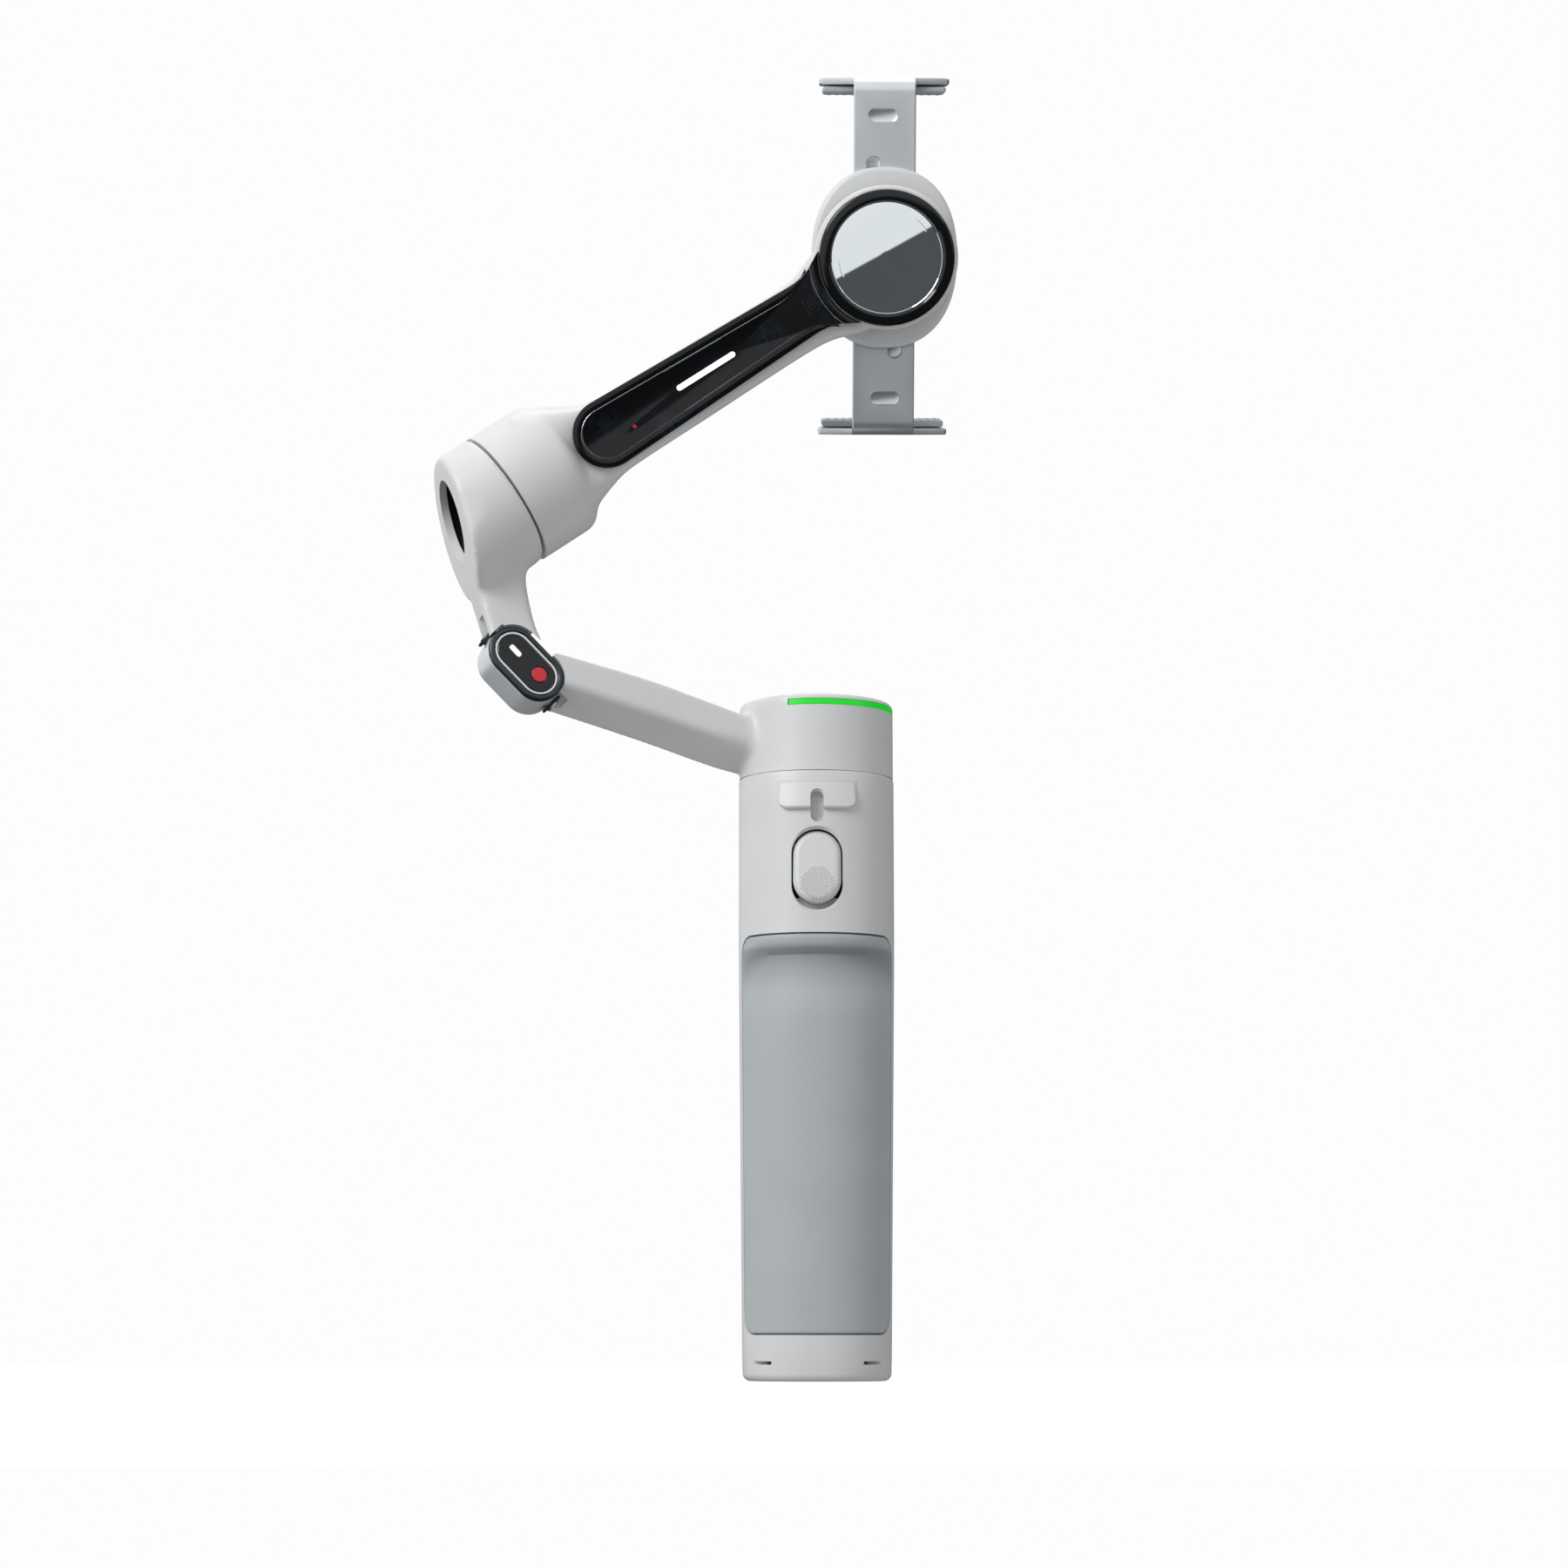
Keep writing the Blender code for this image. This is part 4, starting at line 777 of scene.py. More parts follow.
tab = solid("front_hood", patch(TAB_LOW, TAB_HIGH, 27.0, 2.6, hood, -0.25, 30, 16, soft_top=False))
slot = solid("slot", bar([(1.4, 15), (1.4, 24)], 3.1, math.pi / 2), facing(-1, (TAB_LOW - 0.2) * MM))
combined(tab, [slot], "DIFFERENCE")
fit(tab, SHELL, "handle", "shell", "front_tab")

# %% [markdown]
# ## Wheel, stick and keys
# The thumb stick sits in a knurled wheel. The knurl is one narrow rib set around a circle.

# %% Control wheel with its knurl
WHEEL_FACE = facing(1, WHEEL_HEIGHT * MM)
wheel = solid("control_wheel", bar(
    [(4.8, 14.6), (9.4, 14.6), (9.4, 17.3)] + arc(9.0, 17.9, 0.5, 0, 90) +
    [(6.2, 18.1), (5.4, 17.7), (4.8, 17.2)], hollow=True), WHEEL_FACE)
fit(wheel, DARK, "handle", "dark", "wheel_panel")
rib = skin([[(-0.3 * MM, -0.22 * MM, z), (0.42 * MM, -0.12 * MM, z), (0.42 * MM, 0.12 * MM, z),
             (-0.3 * MM, 0.22 * MM, z)] for z in (15.2 * MM, 18.0 * MM)])
knurl = repeated("wheel_knurl", RING_TREE, rib, WHEEL_FACE, DARK, Count=72, Radius=9.5 * MM)
fit(knurl, DARK, "handle", "dark", crease=20)

# %% Thumb stick and keys
stick = solid("thumb_stick", bar(
    [(1.6, 1.1), (1.6, 5.2), (2.6, 5.9)] + arc(3.2, 7.2, 0.5, -60, 60) + arc(2.9, 7.9, 0.55, 20, 110) +
    [(1.9, 8.1), (0.8, 7.95)]), axis_frame((0, 13 * MM, WHEEL_HEIGHT * MM), (0, 1, 0)))
fit(stick, DARK, "stick", "dark", "joystick")
record = solid("record_key_cap", bar(
    [(3.5, 14.4), (3.5, 18.0)] + arc(3.0, 18.1, 0.5, 0, 90) + [(2.2, 18.5), (1.0, 18.4)]),
    facing(1, RECORD_HEIGHT * MM))
fit(record, RED, "record_key", "red", "record_button")
power = solid("power_key_cap", bar(
    [(2.2, 14.4), (2.2, 17.9)] + arc(1.8, 18.0, 0.4, 0, 90), 2.6), facing(1, POWER_HEIGHT * MM))
fit(power, SHELL, "power_key", "shell", "power_button")

# %% [markdown]
# ## Pan motor and its arm
# The pan housing and the arm are one die-cast and painted shell. The arm's front face stands upright
# while its underside slopes back, so its section is a box with one corner pushed away, which changes
# along the arm. Motor drum and arm are fused, then the joint between them is relaxed more than the
# rest, which gives the wide hollow fillet there.

# %% Pan shell
PAN_RADIUS, PAN_LOW, PAN_TOP = 16.6, 128.3, 144.9
drum = solid("pan_shell", bar([(PAN_RADIUS, 118)] + arc(PAN_RADIUS - 1.5, PAN_TOP - 1.5, 1.5, 0, 90)))
sections = eased([
    (2.0, 4.1, -2.6, -5.8), (10.0, 2.4, -4.7, -7.8), (28.0, -1.9, -9.7, -12.8), (46.0, -7.3, -14.9, -18.2),
    (60.0, -8.9, -17.4, -20.6)], 24)
loops = []
for x, top, edge, under in sections:
    corners = [(0.0, edge), (0.0, top), (-11.0, top), (-11.0, under)]
    loops.append(rounded(corners, 1.5, lambda n, y, x=x: (x, y, n)))
arm = solid("arm", skin(loops), ELBOW)
fused(drum, [arm], 0.36, 8)
relaxed(drum, 260, Vector((-13.5, -9.0, 137.0)) * MM, 11.0)

# %% Cuts in the pan shell
BLOCK_TURN = math.radians(-46.0)
BLOCK_REACH, BLOCK_RADIUS = 3.7, 5.45
FOLD = ELBOW @ Matrix.Translation((0, 0, -BLOCK_DEPTH / 2)) @ Matrix.Rotation(
    BLOCK_TURN, 4, "Z") @ Matrix.Rotation(math.pi / 2, 4, "Y")


def across_fold(start, end):
    """A slab square to the fold axis, between two places along it (mm)."""
    return solid("slab", slab((-60, -60, start), (60, 60, end)), FOLD)


def ring_sector(inner, outer, low, high, start, end, steps=64):
    """A flat bar bent around the pan axis, between two angles (degrees)."""
    outline = []
    for radius, order in ((outer, range(steps + 1)), (inner, range(steps, -1, -1))):
        for i in order:
            angle = math.radians(start + (end - start) * i / steps)
            outline.append((radius * MM * math.cos(angle), radius * MM * math.sin(angle)))
    return skin([[(x, y, z * MM) for x, y in outline] for z in (low, high)])


combined(drum, [
    solid("below", slab((-60, -60, 100), (60, 60, PAN_LOW))),
    solid("motor_room", bar([(14.4, 110), (14.4, 140)])),
    solid("block_room", bar([(BLOCK_RADIUS + 0.3, -14), (BLOCK_RADIUS + 0.3, 4)], BLOCK_REACH, BLOCK_TURN),
          ELBOW),
    across_fold(-40, 2.6),
    solid("gasket_room", bar([(3.2, 2), (3.2, 11.4)]), FOLD),
    solid("groove", ring_sector(15.4, 19, 142.35, 143.75, -112, 23))], "DIFFERENCE")
fit(drum, SHELL, "pan", "shell", "pan_housing", "pan_cap")

# %% [markdown]
# The status light is a milky strip let into the drum, with round ends.

# %% Status light
light = solid("status_light", ring_sector(15.5, PAN_RADIUS - 0.02, 142.5, 143.6, -111, 22))
fit(light, GREEN, "pan", "green_light", "light_bar")

# %% [markdown]
# ## Elbow
# The elbow block is a short aluminium body with round ends. On its face, from the rim inwards: a
# dyed frame, a fine white ring and a glossy black window with a red key and a white lamp.

# %% Elbow block and its face
def elbow_bar(name, profile, finish, slot, *stands_for, hollow=False, reach=BLOCK_REACH, **where):
    """A piece of the elbow, drawn on the block's face."""
    turn = where.get("turn", BLOCK_TURN)
    centre = where.get("centre", (0.0, 0.0))
    body = where.get("body", "pan")
    thing = solid(name, bar(profile, reach, turn, centre, 96, hollow), ELBOW)
    return fit(thing, finish, body, slot, *stands_for)


block = solid("elbow_body", bar(
    arc(BLOCK_RADIUS - 1.6, -9.4, 1.6, -90, 0, 8) + arc(BLOCK_RADIUS - 0.3, -1.7, 0.3, 0, 90, 4),
    BLOCK_REACH, BLOCK_TURN), ELBOW)
combined(block, [solid("bore", bar([(1.8, -14), (1.8, 14)]), FOLD)], "DIFFERENCE")
fit(block, BLOCK, "pan", "aluminium", "elbow_block")
elbow_bar("elbow_frame", [(4.3, -1.1), (BLOCK_RADIUS, -1.1)] + arc(BLOCK_RADIUS - 0.6, -0.6, 0.6, 0, 90) +
          [(4.5, 0.0), (4.3, -0.2)], BEZEL, "bezel", "elbow_bezel", hollow=True)
elbow_bar("elbow_ring", [(3.72, -1.1), (4.08, -1.1), (4.08, -0.12), (3.98, -0.06), (3.82, -0.06),
                         (3.72, -0.12)], WHITE, "inlay", "elbow_inlay", hollow=True)
face = solid("elbow_window", bar([(3.5, -1.1), (3.5, -0.25), (3.4, -0.18)], BLOCK_REACH, BLOCK_TURN), ELBOW)
DOT, PILL = (2.71, -2.4), (-2.25, 2.7)
combined(face, [
    solid("hole", bar([(1.85, -3), (1.85, 2)], centre=DOT), ELBOW),
    solid("hole", bar([(0.7, -3), (0.7, 2)], 1.0, BLOCK_TURN, PILL), ELBOW)], "DIFFERENCE")
fit(face, GLOSS, "pan", "gloss", "elbow_face")
elbow_bar("elbow_red_key", [(1.65, -1.1), (1.65, -0.25)] + arc(1.45, -0.2, 0.2, 0, 90, 4), RED, "red",
          "elbow_button", reach=0.0, centre=DOT, body="elbow_key")
elbow_bar("elbow_lamp", [(0.5, -1.1), (0.5, -0.2), (0.4, -0.1)], LAMP, "white_light", "elbow_light",
          reach=1.0, centre=PILL)

# %% Gaskets at the fold
def gasket(name, start, count, body, node):
    """A short ribbed sleeve along the fold axis."""
    profile = [(1.9, start)]
    for i in range(count):
        profile += [(2.25, start + 0.7 * i), (2.5, start + 0.7 * i + 0.2), (2.5, start + 0.7 * i + 0.45)]
    profile += [(2.25, start + 0.7 * count - 0.05), (1.9, start + 0.7 * count - 0.05)]
    return fit(solid(name, bar(profile, hollow=True), FOLD), GASKET, body, "dark", node)


gasket("lower_sleeve", 9.3, 1, "pan", "lower_gasket")
gasket("upper_sleeve", -10.1, 1, "upper", "upper_gasket")

# %% [markdown]
# ## Upper arm and tilt ring
# The upper arm climbs from the fold and wraps into an open ring that holds the tilt motor. One flat
# slanted side cuts both the slab and the ring, and the ring's mouth opens in that side.

# %% Upper arm
TILT_RADIUS = 15.05
SIDE = axis_frame(Vector((-80.8, -23.3, 192.2)) * MM, (-0.932, -0.227, -0.284))
ring = solid("upper_shell", bar([(TILT_RADIUS, -26.0), (TILT_RADIUS, 8.0)]), TILT)
sections = eased([
    (1.5, -13.0, 6.4), (4.5, -14.0, 4.6), (8.3, -15.0, 2.9), (13.0, -16.5, 2.0), (20.5, -19.0, 1.2),
    (28.0, -22.0, 0.8), (34.0, -22.0, -1.0)], 28)
loops = []
for y, left, right in sections:
    corners = [(left, 0.0), (left, -11.0), (right, -11.0), (right, 0.0)]
    loops.append(rounded(corners, 1.8, lambda x, n, y=y: (x, y, n)))
combined(ring, [solid("slab", skin(loops), ELBOW)], "UNION")
outside = cad_box[0] / MM
combined(ring, [
    solid("side", slab((-80, -80, 0), (80, 80, 60)), SIDE),
    solid("past_left", slab((outside.x - 60, -99, 50), (outside.x + 0.05, 99, 300))),
    solid("past_front", slab((-150, outside.y - 60, 50), (99, outside.y + 0.05, 300))),
    solid("seam", bar([(40, -0.15), (40, 40)]), TILT)], "DIFFERENCE")
fused(ring, [], 0.34, 45)
relaxed(ring, 220, ELBOW @ Vector((0.8 * MM, 22 * MM, -3 * MM)), 13.0)
relaxed(ring, 200, ELBOW @ Vector((-5 * MM, 15 * MM, -2 * MM)), 12.0)
room = solid("tilt_room", bar([(11.2, -40), (11.2, 40)]), TILT)
combined(room, [solid("side", slab((-80, -80, -1.7), (80, 80, 60)), SIDE)], "DIFFERENCE")
swept = [(0.0, -9.6), (5.9, -9.55)]
swept += [(0.3 + math.hypot(math.sqrt(BLOCK_RADIUS ** 2 - (f - BLOCK_REACH) ** 2), 5.5), -f)
          for f in (9.0, 8.4, 7.6, 6.6, 5.4, 4.0)]
combined(ring, [
    room,
    solid("mouth", bar([(8.4, -40), (8.4, 0)]), Matrix.Translation(Vector((-0.6, 0, 2.4)) * MM) @ TILT),
    solid("seam", bar([(40, -0.15), (40, 40)]), TILT),
    solid("swivel", bar(swept + [(8.1, 30)]), FOLD),
    across_fold(0, 60),
    solid("gasket_room", bar([(3.2, -14), (3.2, -2)]), FOLD)], "DIFFERENCE")
largest(ring)
fit(ring, SHELL, "upper", "shell", "upper_arm")

# %% [markdown]
# Inside the ring the motor shows: a liner and the teeth of the stator, each tooth one wound
# block set around the shaft. Liner and stator get the dark nylon finish in place of steel and copper,
# which paints the shade of the hole into them.

# %% Tilt motor inside the ring
# Painted shade: liner, core and teeth are drawn in dark nylon, not steel and copper.
liner = solid("tilt_liner", bar([(10.7, -40), (11.15, -40), (11.15, -6.9), (10.7, -6.9)], hollow=True), TILT)
combined(liner, [solid("side", slab((-80, -80, -1.8), (80, 80, 60)), SIDE)], "DIFFERENCE")
fit(liner, DARK, "upper", "steel", "ring_liner")
core = solid("tilt_core", bar([(2.4, -0.9), (2.4, -6.5), (10.9, -6.5), (10.9, -0.9)], hollow=True), TILT)
fit(core, DARK, "upper", "coil", "tilt_stator")
tooth = skin([[(-2.2 * MM, -0.8 * MM, z), (2.2 * MM, -1.15 * MM, z), (2.2 * MM, 1.15 * MM, z),
               (-2.2 * MM, 0.8 * MM, z)] for z in (-8.2 * MM, -6.5 * MM)])
teeth = repeated("tilt_windings", RING_TREE, tooth, TILT, DARK, Count=18, Radius=6.9 * MM)
fit(teeth, DARK, "upper", "coil", crease=20)

# %% [markdown]
# ## Head arm
# One moulding runs from the tilt motor's can, along the arm, to the ring behind the roll motor. The
# arm is drawn in the roll frame: along it, across it, and out of its face, which comes forward on
# its way down.

# %% Head arm's own directions
ARM_TURN = math.radians(31.9)
ARM_END, ARM_RISE = 69.9, 0.22
ROLL_RING, ROLL_HOUSING, MIRROR_RADIUS = 14.5, 15.4, 11.9


def on_arm(along, across, height):
    """A point (m) in the roll frame, from places (mm) along and across the arm and over its face."""
    c, s = math.cos(ARM_TURN), math.sin(ARM_TURN)
    rise = ARM_RISE * (along - ROLL_RING)
    return Vector((-along * c - across * s, -along * s + across * c, rise + height)) * MM


NECK_HALF, NECK_FLARE, NECK_MOUTH = 5.8, 15.0, 8.9


def cover_outline(shrink=0.0, gap=0.3, steps=40):
    """Outline of the cover (along, across): a round far end, and a neck that widens to the roll ring."""
    points = []
    for i in range(steps + 1):
        angle = math.radians(90 - 180 * i / steps)
        points.append((ARM_END + (7.35 - shrink) * math.cos(angle), (7.35 - shrink) * math.sin(angle)))
    ring, flare = ROLL_RING + gap + shrink, NECK_FLARE + shrink
    neck, mouth_half = NECK_HALF - shrink, NECK_MOUTH - shrink
    limit = math.asin(mouth_half / ring)
    last = math.acos((neck + flare - mouth_half) / flare)
    centre = ring * math.cos(limit) + flare * math.sin(last)
    bend = [(centre - flare * math.sin(last * i / 8), neck + flare - flare * math.cos(last * i / 8))
            for i in range(8)]
    points += [(along, -across) for along, across in bend]
    for i in range(steps // 2 + 1):
        angle = -limit + 4 * limit * i / steps
        points.append((ring * math.cos(angle), ring * math.sin(angle)))
    return points + bend[::-1]


def cover_body(levels, gap=0.3):
    """A body of the cover's outline; levels lists (shrink, height)."""
    return skin([[on_arm(a, b, height) for a, b in cover_outline(shrink, gap)] for shrink, height in levels])


# %% Head shell
can = solid("head_shell", bar(
    [(TILT_RADIUS, -8.0), (TILT_RADIUS, 11.5)] + arc(TILT_RADIUS - 4, 11.5, 4.0, 0, 90, 10)), TILT)
sections = eased([
    (6.0, -11.5, 10.6, -12.0, 2.0), (13.0, -10.8, 9.1, -12.0, 2.0), (16.5, -9.6, 7.7, -12.0, 2.0),
    (21.0, -8.6, 6.5, -12.0, 2.0), (30.0, -8.4, 6.3, -11.8, 2.2),
    (50.0, -8.7, 6.8, -11.2, 2.4), (69.0, -9.0, 7.2, -10.5, 2.6), (75.0, -10.2, 9.0, -10.4, 3.5),
    (80.0, -12.0, 12.0, -10.3, 6.0), (86.0, -14.0, 14.0, -10.0, 8.0)], 36)
loops = []
for along, low_side, high_side, back_face, corner in sections:
    face_top = ARM_RISE * (along - ROLL_RING) - 1.8
    corners = [(low_side, face_top), (high_side, face_top), (high_side, back_face), (low_side, back_face)]
    loops.append([on_arm(along, p.x / MM, p.y / MM - ARM_RISE * (along - ROLL_RING))
                  for p in rounded(corners, corner, lambda a, b: (a, b, 0))])
arm = solid("arm", skin(loops), ROLL)
drum_back = solid("drum", bar(
    arc(ROLL_HOUSING - 1.0, -11.6, 1.0, -90, 0) + arc(ROLL_HOUSING - 0.9, -2.7, 0.9, 0, 90)), ROLL)
head = fused(can, [arm, drum_back], 0.36, 14)
relaxed(head, 200, ROLL @ on_arm(78, -9, -2), 14.0)
relaxed(head, 120, ROLL @ on_arm(77, 8, -2), 11.0)
combined(head, [
    solid("roll_room", bar([(13.3, -20), (13.3, -4.2)]), ROLL),
    solid("cover_seat", cover_body([(-0.25, -1.75), (-0.25, 12)], -0.4), ROLL),
    solid("board_room", cover_body([(1.6, -4.6), (1.6, 9)], 1.5), ROLL),
    solid("bezel_seat", bar([(ROLL_RING + 0.2, -1.85), (ROLL_RING + 0.2, 9)]), ROLL),
    solid("rotor_room", bar([(13.0, -20), (13.0, 7)]), TILT),
    solid("seam", bar([(40, -30), (40, 0.15)]), TILT)], "DIFFERENCE")
fit(head, SHELL, "head", "shell", "head_arm")

# %% [markdown]
# ## Cover, lamps and mirror
# The cover's rim is a rounded band. Inside it the window lies 0.7 mm lower, behind a slanting step.
# A thin steel strip lies along the step in place of the line of light on the step's fillet: a painted
# highlight, though the strip's own shine is a real reflection.

# %% Smoked cover
RIM = 1.9
cover = solid("smoked_cover", cover_body([
    (0.0, -1.5), (0.0, -0.55), (0.08, -0.28), (0.28, -0.08), (0.6, 0.0), (RIM - 0.45, 0.0),
    (RIM - 0.2, -0.06), (RIM, -0.2), (RIM + 0.3, -0.64), (RIM + 0.45, -0.7)]), ROLL)
LAMP_ALONG, LAMP_REACH, LAMP_RADIUS = 45.4, 6.6, 0.62


def arm_bar(centre, reach, levels, steps=48):
    """A round-ended bar lying along the arm; levels lists (radius, height)."""
    return skin([[on_arm(a, b, height) for a, b in stadium(reach, radius, 0.0, centre, steps)]
                 for radius, height in levels])


LED_AT = (64.3, -1.9)
combined(cover, [
    solid("pocket", arm_bar((LAMP_ALONG, 0), LAMP_REACH, [
        (LAMP_RADIUS + 0.12, -0.95), (LAMP_RADIUS + 0.12, 3)]), ROLL),
    solid("pocket", arm_bar(LED_AT, 0.0, [(0.5, -0.95), (0.5, 3)]), ROLL)], "DIFFERENCE")
fit(cover, COVER, "head", "gloss", "arm_cover", crease=22)
lamp = solid("arm_lamp", arm_bar((LAMP_ALONG, 0), LAMP_REACH, [
    (LAMP_RADIUS, -0.9), (LAMP_RADIUS, -0.6), (LAMP_RADIUS - 0.1, -0.52)]), ROLL)
fit(lamp, LAMP, "head", "white_light", "arm_light")
spark = solid("arm_indicator", arm_bar(LED_AT, 0.0, [(0.42, -0.9), (0.42, -0.66), (0.3, -0.6)]), ROLL)
fit(spark, SPARK, "head", "red")

# Painted highlight: a thin steel strip along the step stands in for the light its fillet catches.
line_section = ((RIM - 0.02, -0.16), (RIM + 0.24, -0.56), (RIM + 0.30, -0.52), (RIM + 0.05, -0.12))
line = solid("cover_highlight_strip", skin([
    [on_arm(a, b, height) for a, b in cover_outline(shrink)] for shrink, height in line_section],
    closed=True), ROLL)
fit(line, STEEL, "head", "steel", crease=20)

# %% Perforations in the cover
hole_cap = bar([(0.17, -0.1), (0.17, 0.03)], steps=10)
along, across = ROLL.to_3x3() @ on_arm(20, 0, 0), ROLL.to_3x3() @ on_arm(19, 0, 0)
along = (along - across).normalized()
perforations = repeated(
    "cover_perforations", DISC_TREE, hole_cap,
    axis_frame(ROLL @ on_arm(20.3, 0, -0.7), ROLL.to_3x3() @ Vector((0, 0, 1)), along), BEZEL,
    Pitch=0.72 * MM, Reach=1.6 * MM, Steps=6)
fit(perforations, BEZEL, "head", "dark", crease=20)

# %% [markdown]
# The roll motor's cap is a black ring around a silvered disc. The disc is slightly domed, like the
# back of a watch, so it mirrors a wide stretch of the room in one bright and one dark half.

# %% Roll cap
bezel = solid("roll_ring", bar(
    [(12.15, -1.5), (ROLL_RING, -1.5), (ROLL_RING, -0.7)] + arc(ROLL_RING - 0.7, -0.7, 0.7, 0, 90) +
    [(12.6, 0.0), (12.15, -0.35)], hollow=True, steps=128), ROLL)
fit(bezel, GLOSS, "head", "gloss", "roll_bezel")
DOME = 60.0
dome = [(MIRROR_RADIUS, -1.4), (MIRROR_RADIUS, -1.25)]
radii = [(MIRROR_RADIUS - 0.12) * (1 - i / 24) for i in range(23)]
groove = [(10.3, 0.0), (10.22, 0.02), (10.14, 0.02), (10.06, 0.0)]
for radius, down in sorted([(r, 0.0) for r in radii] + groove)[::-1]:
    dome.append((radius, -0.22 - down - DOME + math.sqrt(DOME * DOME - radius * radius)))
mirror = solid("roll_disc", bar(dome, steps=128), ROLL)
fit(mirror, MIRROR, "head", "mirror", "roll_mirror")

# %% [markdown]
# ## Clamp
# The clamp body is an oval cushion of the same shell. The jaws are bent from one strip of aluminium
# each: a flat plate with pressed slots, a tight bend, and a broad lip with a rubber pad under it.

# %% Clamp body
def oval(half_x, half_y, steps=96, power=2.3):
    """Outline of an ellipse pushed a little towards a box."""
    points = []
    for i in range(steps):
        c, s = math.cos(2 * math.pi * i / steps), math.sin(2 * math.pi * i / steps)
        points.append((math.copysign(half_x * abs(c) ** (2 / power), c),
                       math.copysign(half_y * abs(s) ** (2 / power), s)))
    return points


def oval_body(half_x, half_y, levels):
    """A stack of ovals; levels lists (how much smaller, height) in mm."""
    return skin([[(x * MM, y * MM, height * MM) for x, y in oval(half_x - less, half_y - less)]
                 for less, height in levels])


levels = [(1.0 - r, z) for r, z in arc(0, -20.6, 1.0, -90, 0)]
levels += [(1.1 - r, z) for r, z in arc(0, -15.2, 1.1, 0, 90)]
clamp = solid("clamp_shell", oval_body(15.8, 19.5, levels))
clamp.data.transform(ROLL)
PLATE_HALF, PLATE_FRONT, PLATE_BACK = 6.75, -17.8, -19.2
combined(clamp, [
    solid("channel", slab(
        (-PLATE_HALF - 0.3, -30, PLATE_BACK - 0.3), (PLATE_HALF + 0.3, 30, PLATE_FRONT + 0.3)),
          ROLL),
    solid("magnet_room", bar([(8.6, -16.2), (12.9, -16.2), (12.9, -12), (8.6, -12)], hollow=True), ROLL)],
    "DIFFERENCE")
fit(clamp, SHELL, "clamp", "shell", "clamp_body")
rest = solid("phone_rest", oval_body(13.2, 16.8, [(0, -21.9), (0, -22.6), (0.15, -22.9), (0.4, -23.0)]), ROLL)
fit(rest, PAD, "clamp", "rubber", "clamp_pad")
rest_rib = skin([[(-0.35 * MM, -6.5 * MM, z), (0.35 * MM, -6.5 * MM, z), (0.35 * MM, 6.5 * MM, z),
                  (-0.35 * MM, 6.5 * MM, z)] for z in (-23.1 * MM, -22.8 * MM)])
rest_ribs = repeated("phone_rest_ribs", ROW_TREE, rest_rib, ROLL, PAD, Count=11, Pitch=1.8 * MM)
fit(rest_ribs, PAD, "clamp", "rubber", crease=20)

# %% Jaws
JAW_OUTER, JAW_INNER, JAW_THICK, BEND = 38.7, 8.4, 1.4, 3.0
LIP_HALF, LIP_BACK, LIP_CORNER = 14.15, -33.0, 3.2


def jaw_line(inset):
    """The strip's path (out, height) at a depth under its outer face."""
    path = [(JAW_INNER, PLATE_FRONT - inset)]
    bend = BEND - inset
    path += [(JAW_OUTER - BEND + bend * math.sin(a), PLATE_FRONT - BEND + bend * math.cos(a))
             for a in (math.radians(90 * i / 12) for i in range(13))]
    for i in range(1, 13):
        path.append((JAW_OUTER - inset, PLATE_FRONT - BEND + (LIP_BACK + BEND - PLATE_FRONT) * i / 12))
    return path


def jaw_reach(height):
    """Half width of the strip: narrow plate, then a quick round step out to the lip, rounded off."""
    past = PLATE_FRONT - BEND - height
    if past <= 0:
        return PLATE_HALF
    if past < 1.6:
        return PLATE_HALF + (LIP_HALF - PLATE_HALF) * (1 - (1 - past / 1.6) ** 2) ** 0.5
    left = height - LIP_BACK
    if left < LIP_CORNER:
        return LIP_HALF - LIP_CORNER + math.sqrt(LIP_CORNER ** 2 - (LIP_CORNER - left) ** 2)
    return LIP_HALF


def jaw_mesh():
    """The bent strip, with a fine bevel all round, drawn for the upper jaw."""
    loops = []
    outer, inner = jaw_line(0.0), jaw_line(JAW_THICK)
    for (yo, zo), (yi, zi) in zip(outer, inner):
        reach = jaw_reach(zo)
        loop = []
        for x, share in ((-reach + 0.25, 0), (reach - 0.25, 0), (reach, 0.18), (reach, 0.82),
                         (reach - 0.25, 1), (-reach + 0.25, 1), (-reach, 0.82), (-reach, 0.18)):
            loop.append(Vector((x, yo + (yi - yo) * share, zo + (zi - zo) * share)) * MM)
        loops.append(loop)
    return skin(loops)


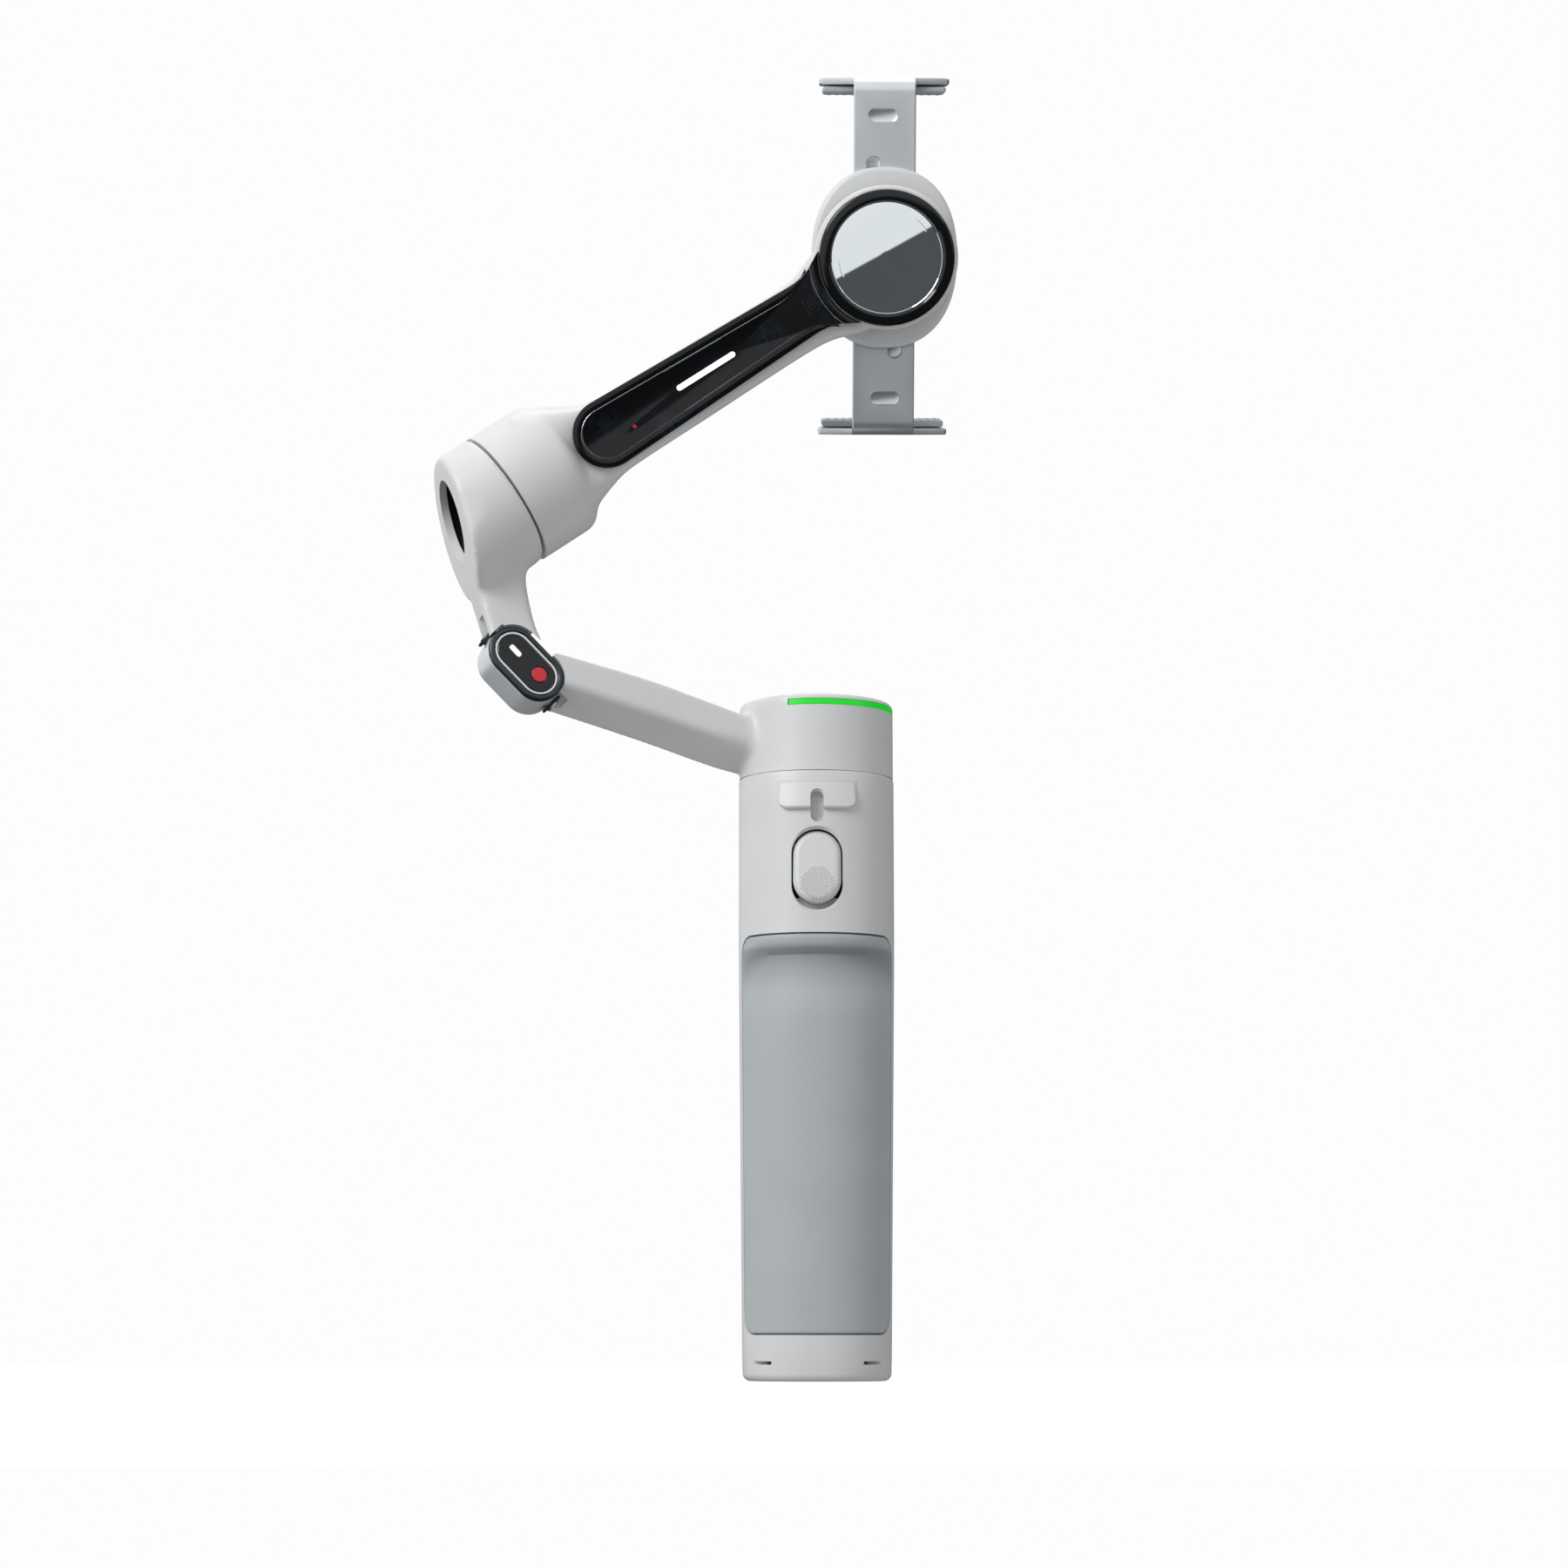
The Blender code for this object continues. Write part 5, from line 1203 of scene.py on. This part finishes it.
def make_jaw(name, side, body):
    """One jaw with its rack, slots and pad; the lower one is the upper one turned half round."""
    place = ROLL @ Matrix.Rotation(0.0 if side > 0 else math.pi, 4, "Z")
    jaw = solid(name + "_jaw_plate", jaw_mesh(), place)
    rack = solid("rack", slab((3.2, -5.0, PLATE_BACK), (5.4, JAW_INNER + 1.0, PLATE_FRONT)), place)
    combined(jaw, [rack], "UNION")
    cross = bar([(1.0, -18.75), (1.35, -18.6), (1.6, -17.6), (1.6, -10)], 1.7, 0.0, (-0.4, 30.6))
    upright = bar([(1.1, -18.75), (1.45, -18.6), (1.7, -17.6), (1.7, -10)], 4.05, math.pi / 2, (-2.4, 16.2))
    lane = solid("lane", slab((-5.7, 0, -25), (-2.9, 16.5, -10)), place)
    combined(jaw, [solid("slot", cross, place), solid("slot", upright, place), lane], "DIFFERENCE")
    fit(jaw, ALUMINIUM, body, "aluminium", name + "_jaw", crease=25)
    top = JAW_OUTER - JAW_THICK - 0.3
    pad = solid(name + "_pad", slab((-13.4, top - 1.5, -32.4), (13.4, top, -21.8)), place)
    bevel = pad.modifiers.new("rim", "BEVEL")
    bevel.width = 0.6 * MM
    bevel.segments = 4
    applied(pad)
    fit(pad, PAD, body, "rubber", name + "_jaw_pad")
    rib = skin([[(-0.3 * MM, -0.1 * MM, z), (0.3 * MM, -0.1 * MM, z), (0.3 * MM, 0.1 * MM, z),
                 (-0.3 * MM, 0.1 * MM, z)] for z in (-31.4 * MM, -22.8 * MM)])
    rows = repeated(name + "_pad_ribs", ROW_TREE, rib, place @ Matrix.Translation((0, (top - 1.5) * MM, 0)),
                    PAD, Count=15, Pitch=1.7 * MM)
    fit(rows, PAD, body, "rubber", crease=20)


make_jaw("upper", 1, "jaw_up")
make_jaw("lower", -1, "jaw_down")

# %% [markdown]
# ## Inner parts
# What lies inside keeps its CAD shape and gets its real finish.

# %% Finishes of the kept nodes
refinish(STEEL, "trigger_pin", "joystick_yoke", "usb_socket", "rod_sleeve", "pan_rotor", "pan_shaft",
         "fold_pin", "tilt_rotor", "magnet_ring", "roll_rotor", "jaw_pinion")
refinish(ALUMINIUM, "rod_stage_1", "rod_stage_2", "rod_stage_3")
refinish(ALUMINIUM, "tripod_leg_1", "tripod_leg_2", "tripod_leg_3")
refinish(DARK, "rod_collar")
refinish(CELL, "battery")
refinish(BOARD, "main_board", "arm_board")
refinish(COIL, "pan_stator", "roll_stator")
refinish(BRASS, "thread_insert")
refinish(SHELL, "tripod_hub")

# %% [markdown]
# ## Room
# A pale floor, a pale room and three soft lights: a large one high on the left in front, a weak one
# on the right, and one overhead. For reflections the room is bright above a slanting line and dark
# below it, which is what gives polished parts their shape. The floor stays out of reflections and
# bounced light, so that undersides keep their shade.

# %% Floor
floor_mesh = bpy.data.meshes.new("floor")
bm = bmesh.new()
bmesh.ops.create_circle(bm, cap_ends=True, radius=0.5, segments=96)
bm.to_mesh(floor_mesh)
bm.free()
floor = bpy.data.objects.new("floor", floor_mesh)
bpy.context.scene.collection.objects.link(floor)
floor.visible_glossy = False
floor.visible_diffuse = False
pale, tree, shader = new_finish(
    "pale_floor", "#f3f3f2", 0.8, Emission_Color=linear("#ffffff"), Emission_Strength=0.5)
floor_mesh.materials.append(pale)

# %% Room light
world = bpy.data.worlds.new("room")
bpy.context.scene.world = world
world.use_nodes = True
tree = world.node_tree
tree.nodes.clear()
way = add(tree, "ShaderNodeTexCoord").outputs["Generated"]
slant = add(tree, "ShaderNodeVectorMath", {0: way, 1: (-0.48, -0.252, 0.840)}, operation="DOT_PRODUCT")
lift = add(tree, "ShaderNodeMapRange", {
    "Value": slant.outputs["Value"], "From Min": 0.012, "From Max": 0.03}, interpolation_type="SMOOTHSTEP")
mirrored = add(tree, "ShaderNodeMix", {"Factor": lift.outputs[0]}, data_type="RGBA")
mirrored.inputs[6].default_value = linear("#505457")
mirrored.inputs[7].default_value = linear("#eef1f2")
path = add(tree, "ShaderNodeLightPath").outputs
seen = add(tree, "ShaderNodeMix", {"Factor": path["Is Glossy Ray"]}, data_type="RGBA")
seen.inputs[6].default_value = linear("#b4b5b6")
tree.links.new(mirrored.outputs[2], seen.inputs[7])
shown = add(tree, "ShaderNodeMix", {"Factor": path["Is Camera Ray"], 6: seen.outputs[2]}, data_type="RGBA")
shown.inputs[7].default_value = linear("#fdfdfd")
room = add(tree, "ShaderNodeBackground", {"Color": shown.outputs[2], "Strength": 1.0})
add(tree, "ShaderNodeOutputWorld", {"Surface": room.outputs[0]})


# %% Lights
def softbox(name, place, size, watts, colour="#ffffff"):
    """A square soft light that looks at the middle of the object."""
    lamp = bpy.data.lights.new(name, "AREA")
    lamp.size = size
    lamp.energy = watts
    lamp.color = linear(colour)[:3]
    holder = bpy.data.objects.new(name, lamp)
    bpy.context.scene.collection.objects.link(holder)
    target = Vector((-0.01, -0.02, 0.15))
    holder.location = place
    holder.rotation_euler = (target - Vector(place)).to_track_quat("-Z", "Y").to_euler()
    return holder


softbox("key_light", (-0.75, -0.8, 0.75), 0.6, 9.8)
softbox("fill_light", (0.9, -0.5, 0.4), 0.5, 0.6)
softbox("top_light", (0.0, 0.25, 1.1), 0.8, 3.8)

# %% [markdown]
# ## Camera and last measures
# The camera stands low in front of the object and looks slightly up. The scene keeps plain sRGB
# colours, so a hex value comes out as itself in full light.

# %% Camera
view = bpy.data.cameras.new("camera")
view.lens = 84.0
view.sensor_width = 36.0
camera = bpy.data.objects.new("camera", view)
bpy.context.scene.collection.objects.link(camera)
camera.location = (-0.00698, -0.78375, 0.01047)
camera.rotation_euler = (math.radians(98.5), 0.0, 0.0)
bpy.context.scene.camera = camera
bpy.context.scene.view_settings.view_transform = "Standard"

# %% Sizes and finish
print("CAD box", [round(v / MM, 1) for v in cad_box[1] - cad_box[0]], "mm")
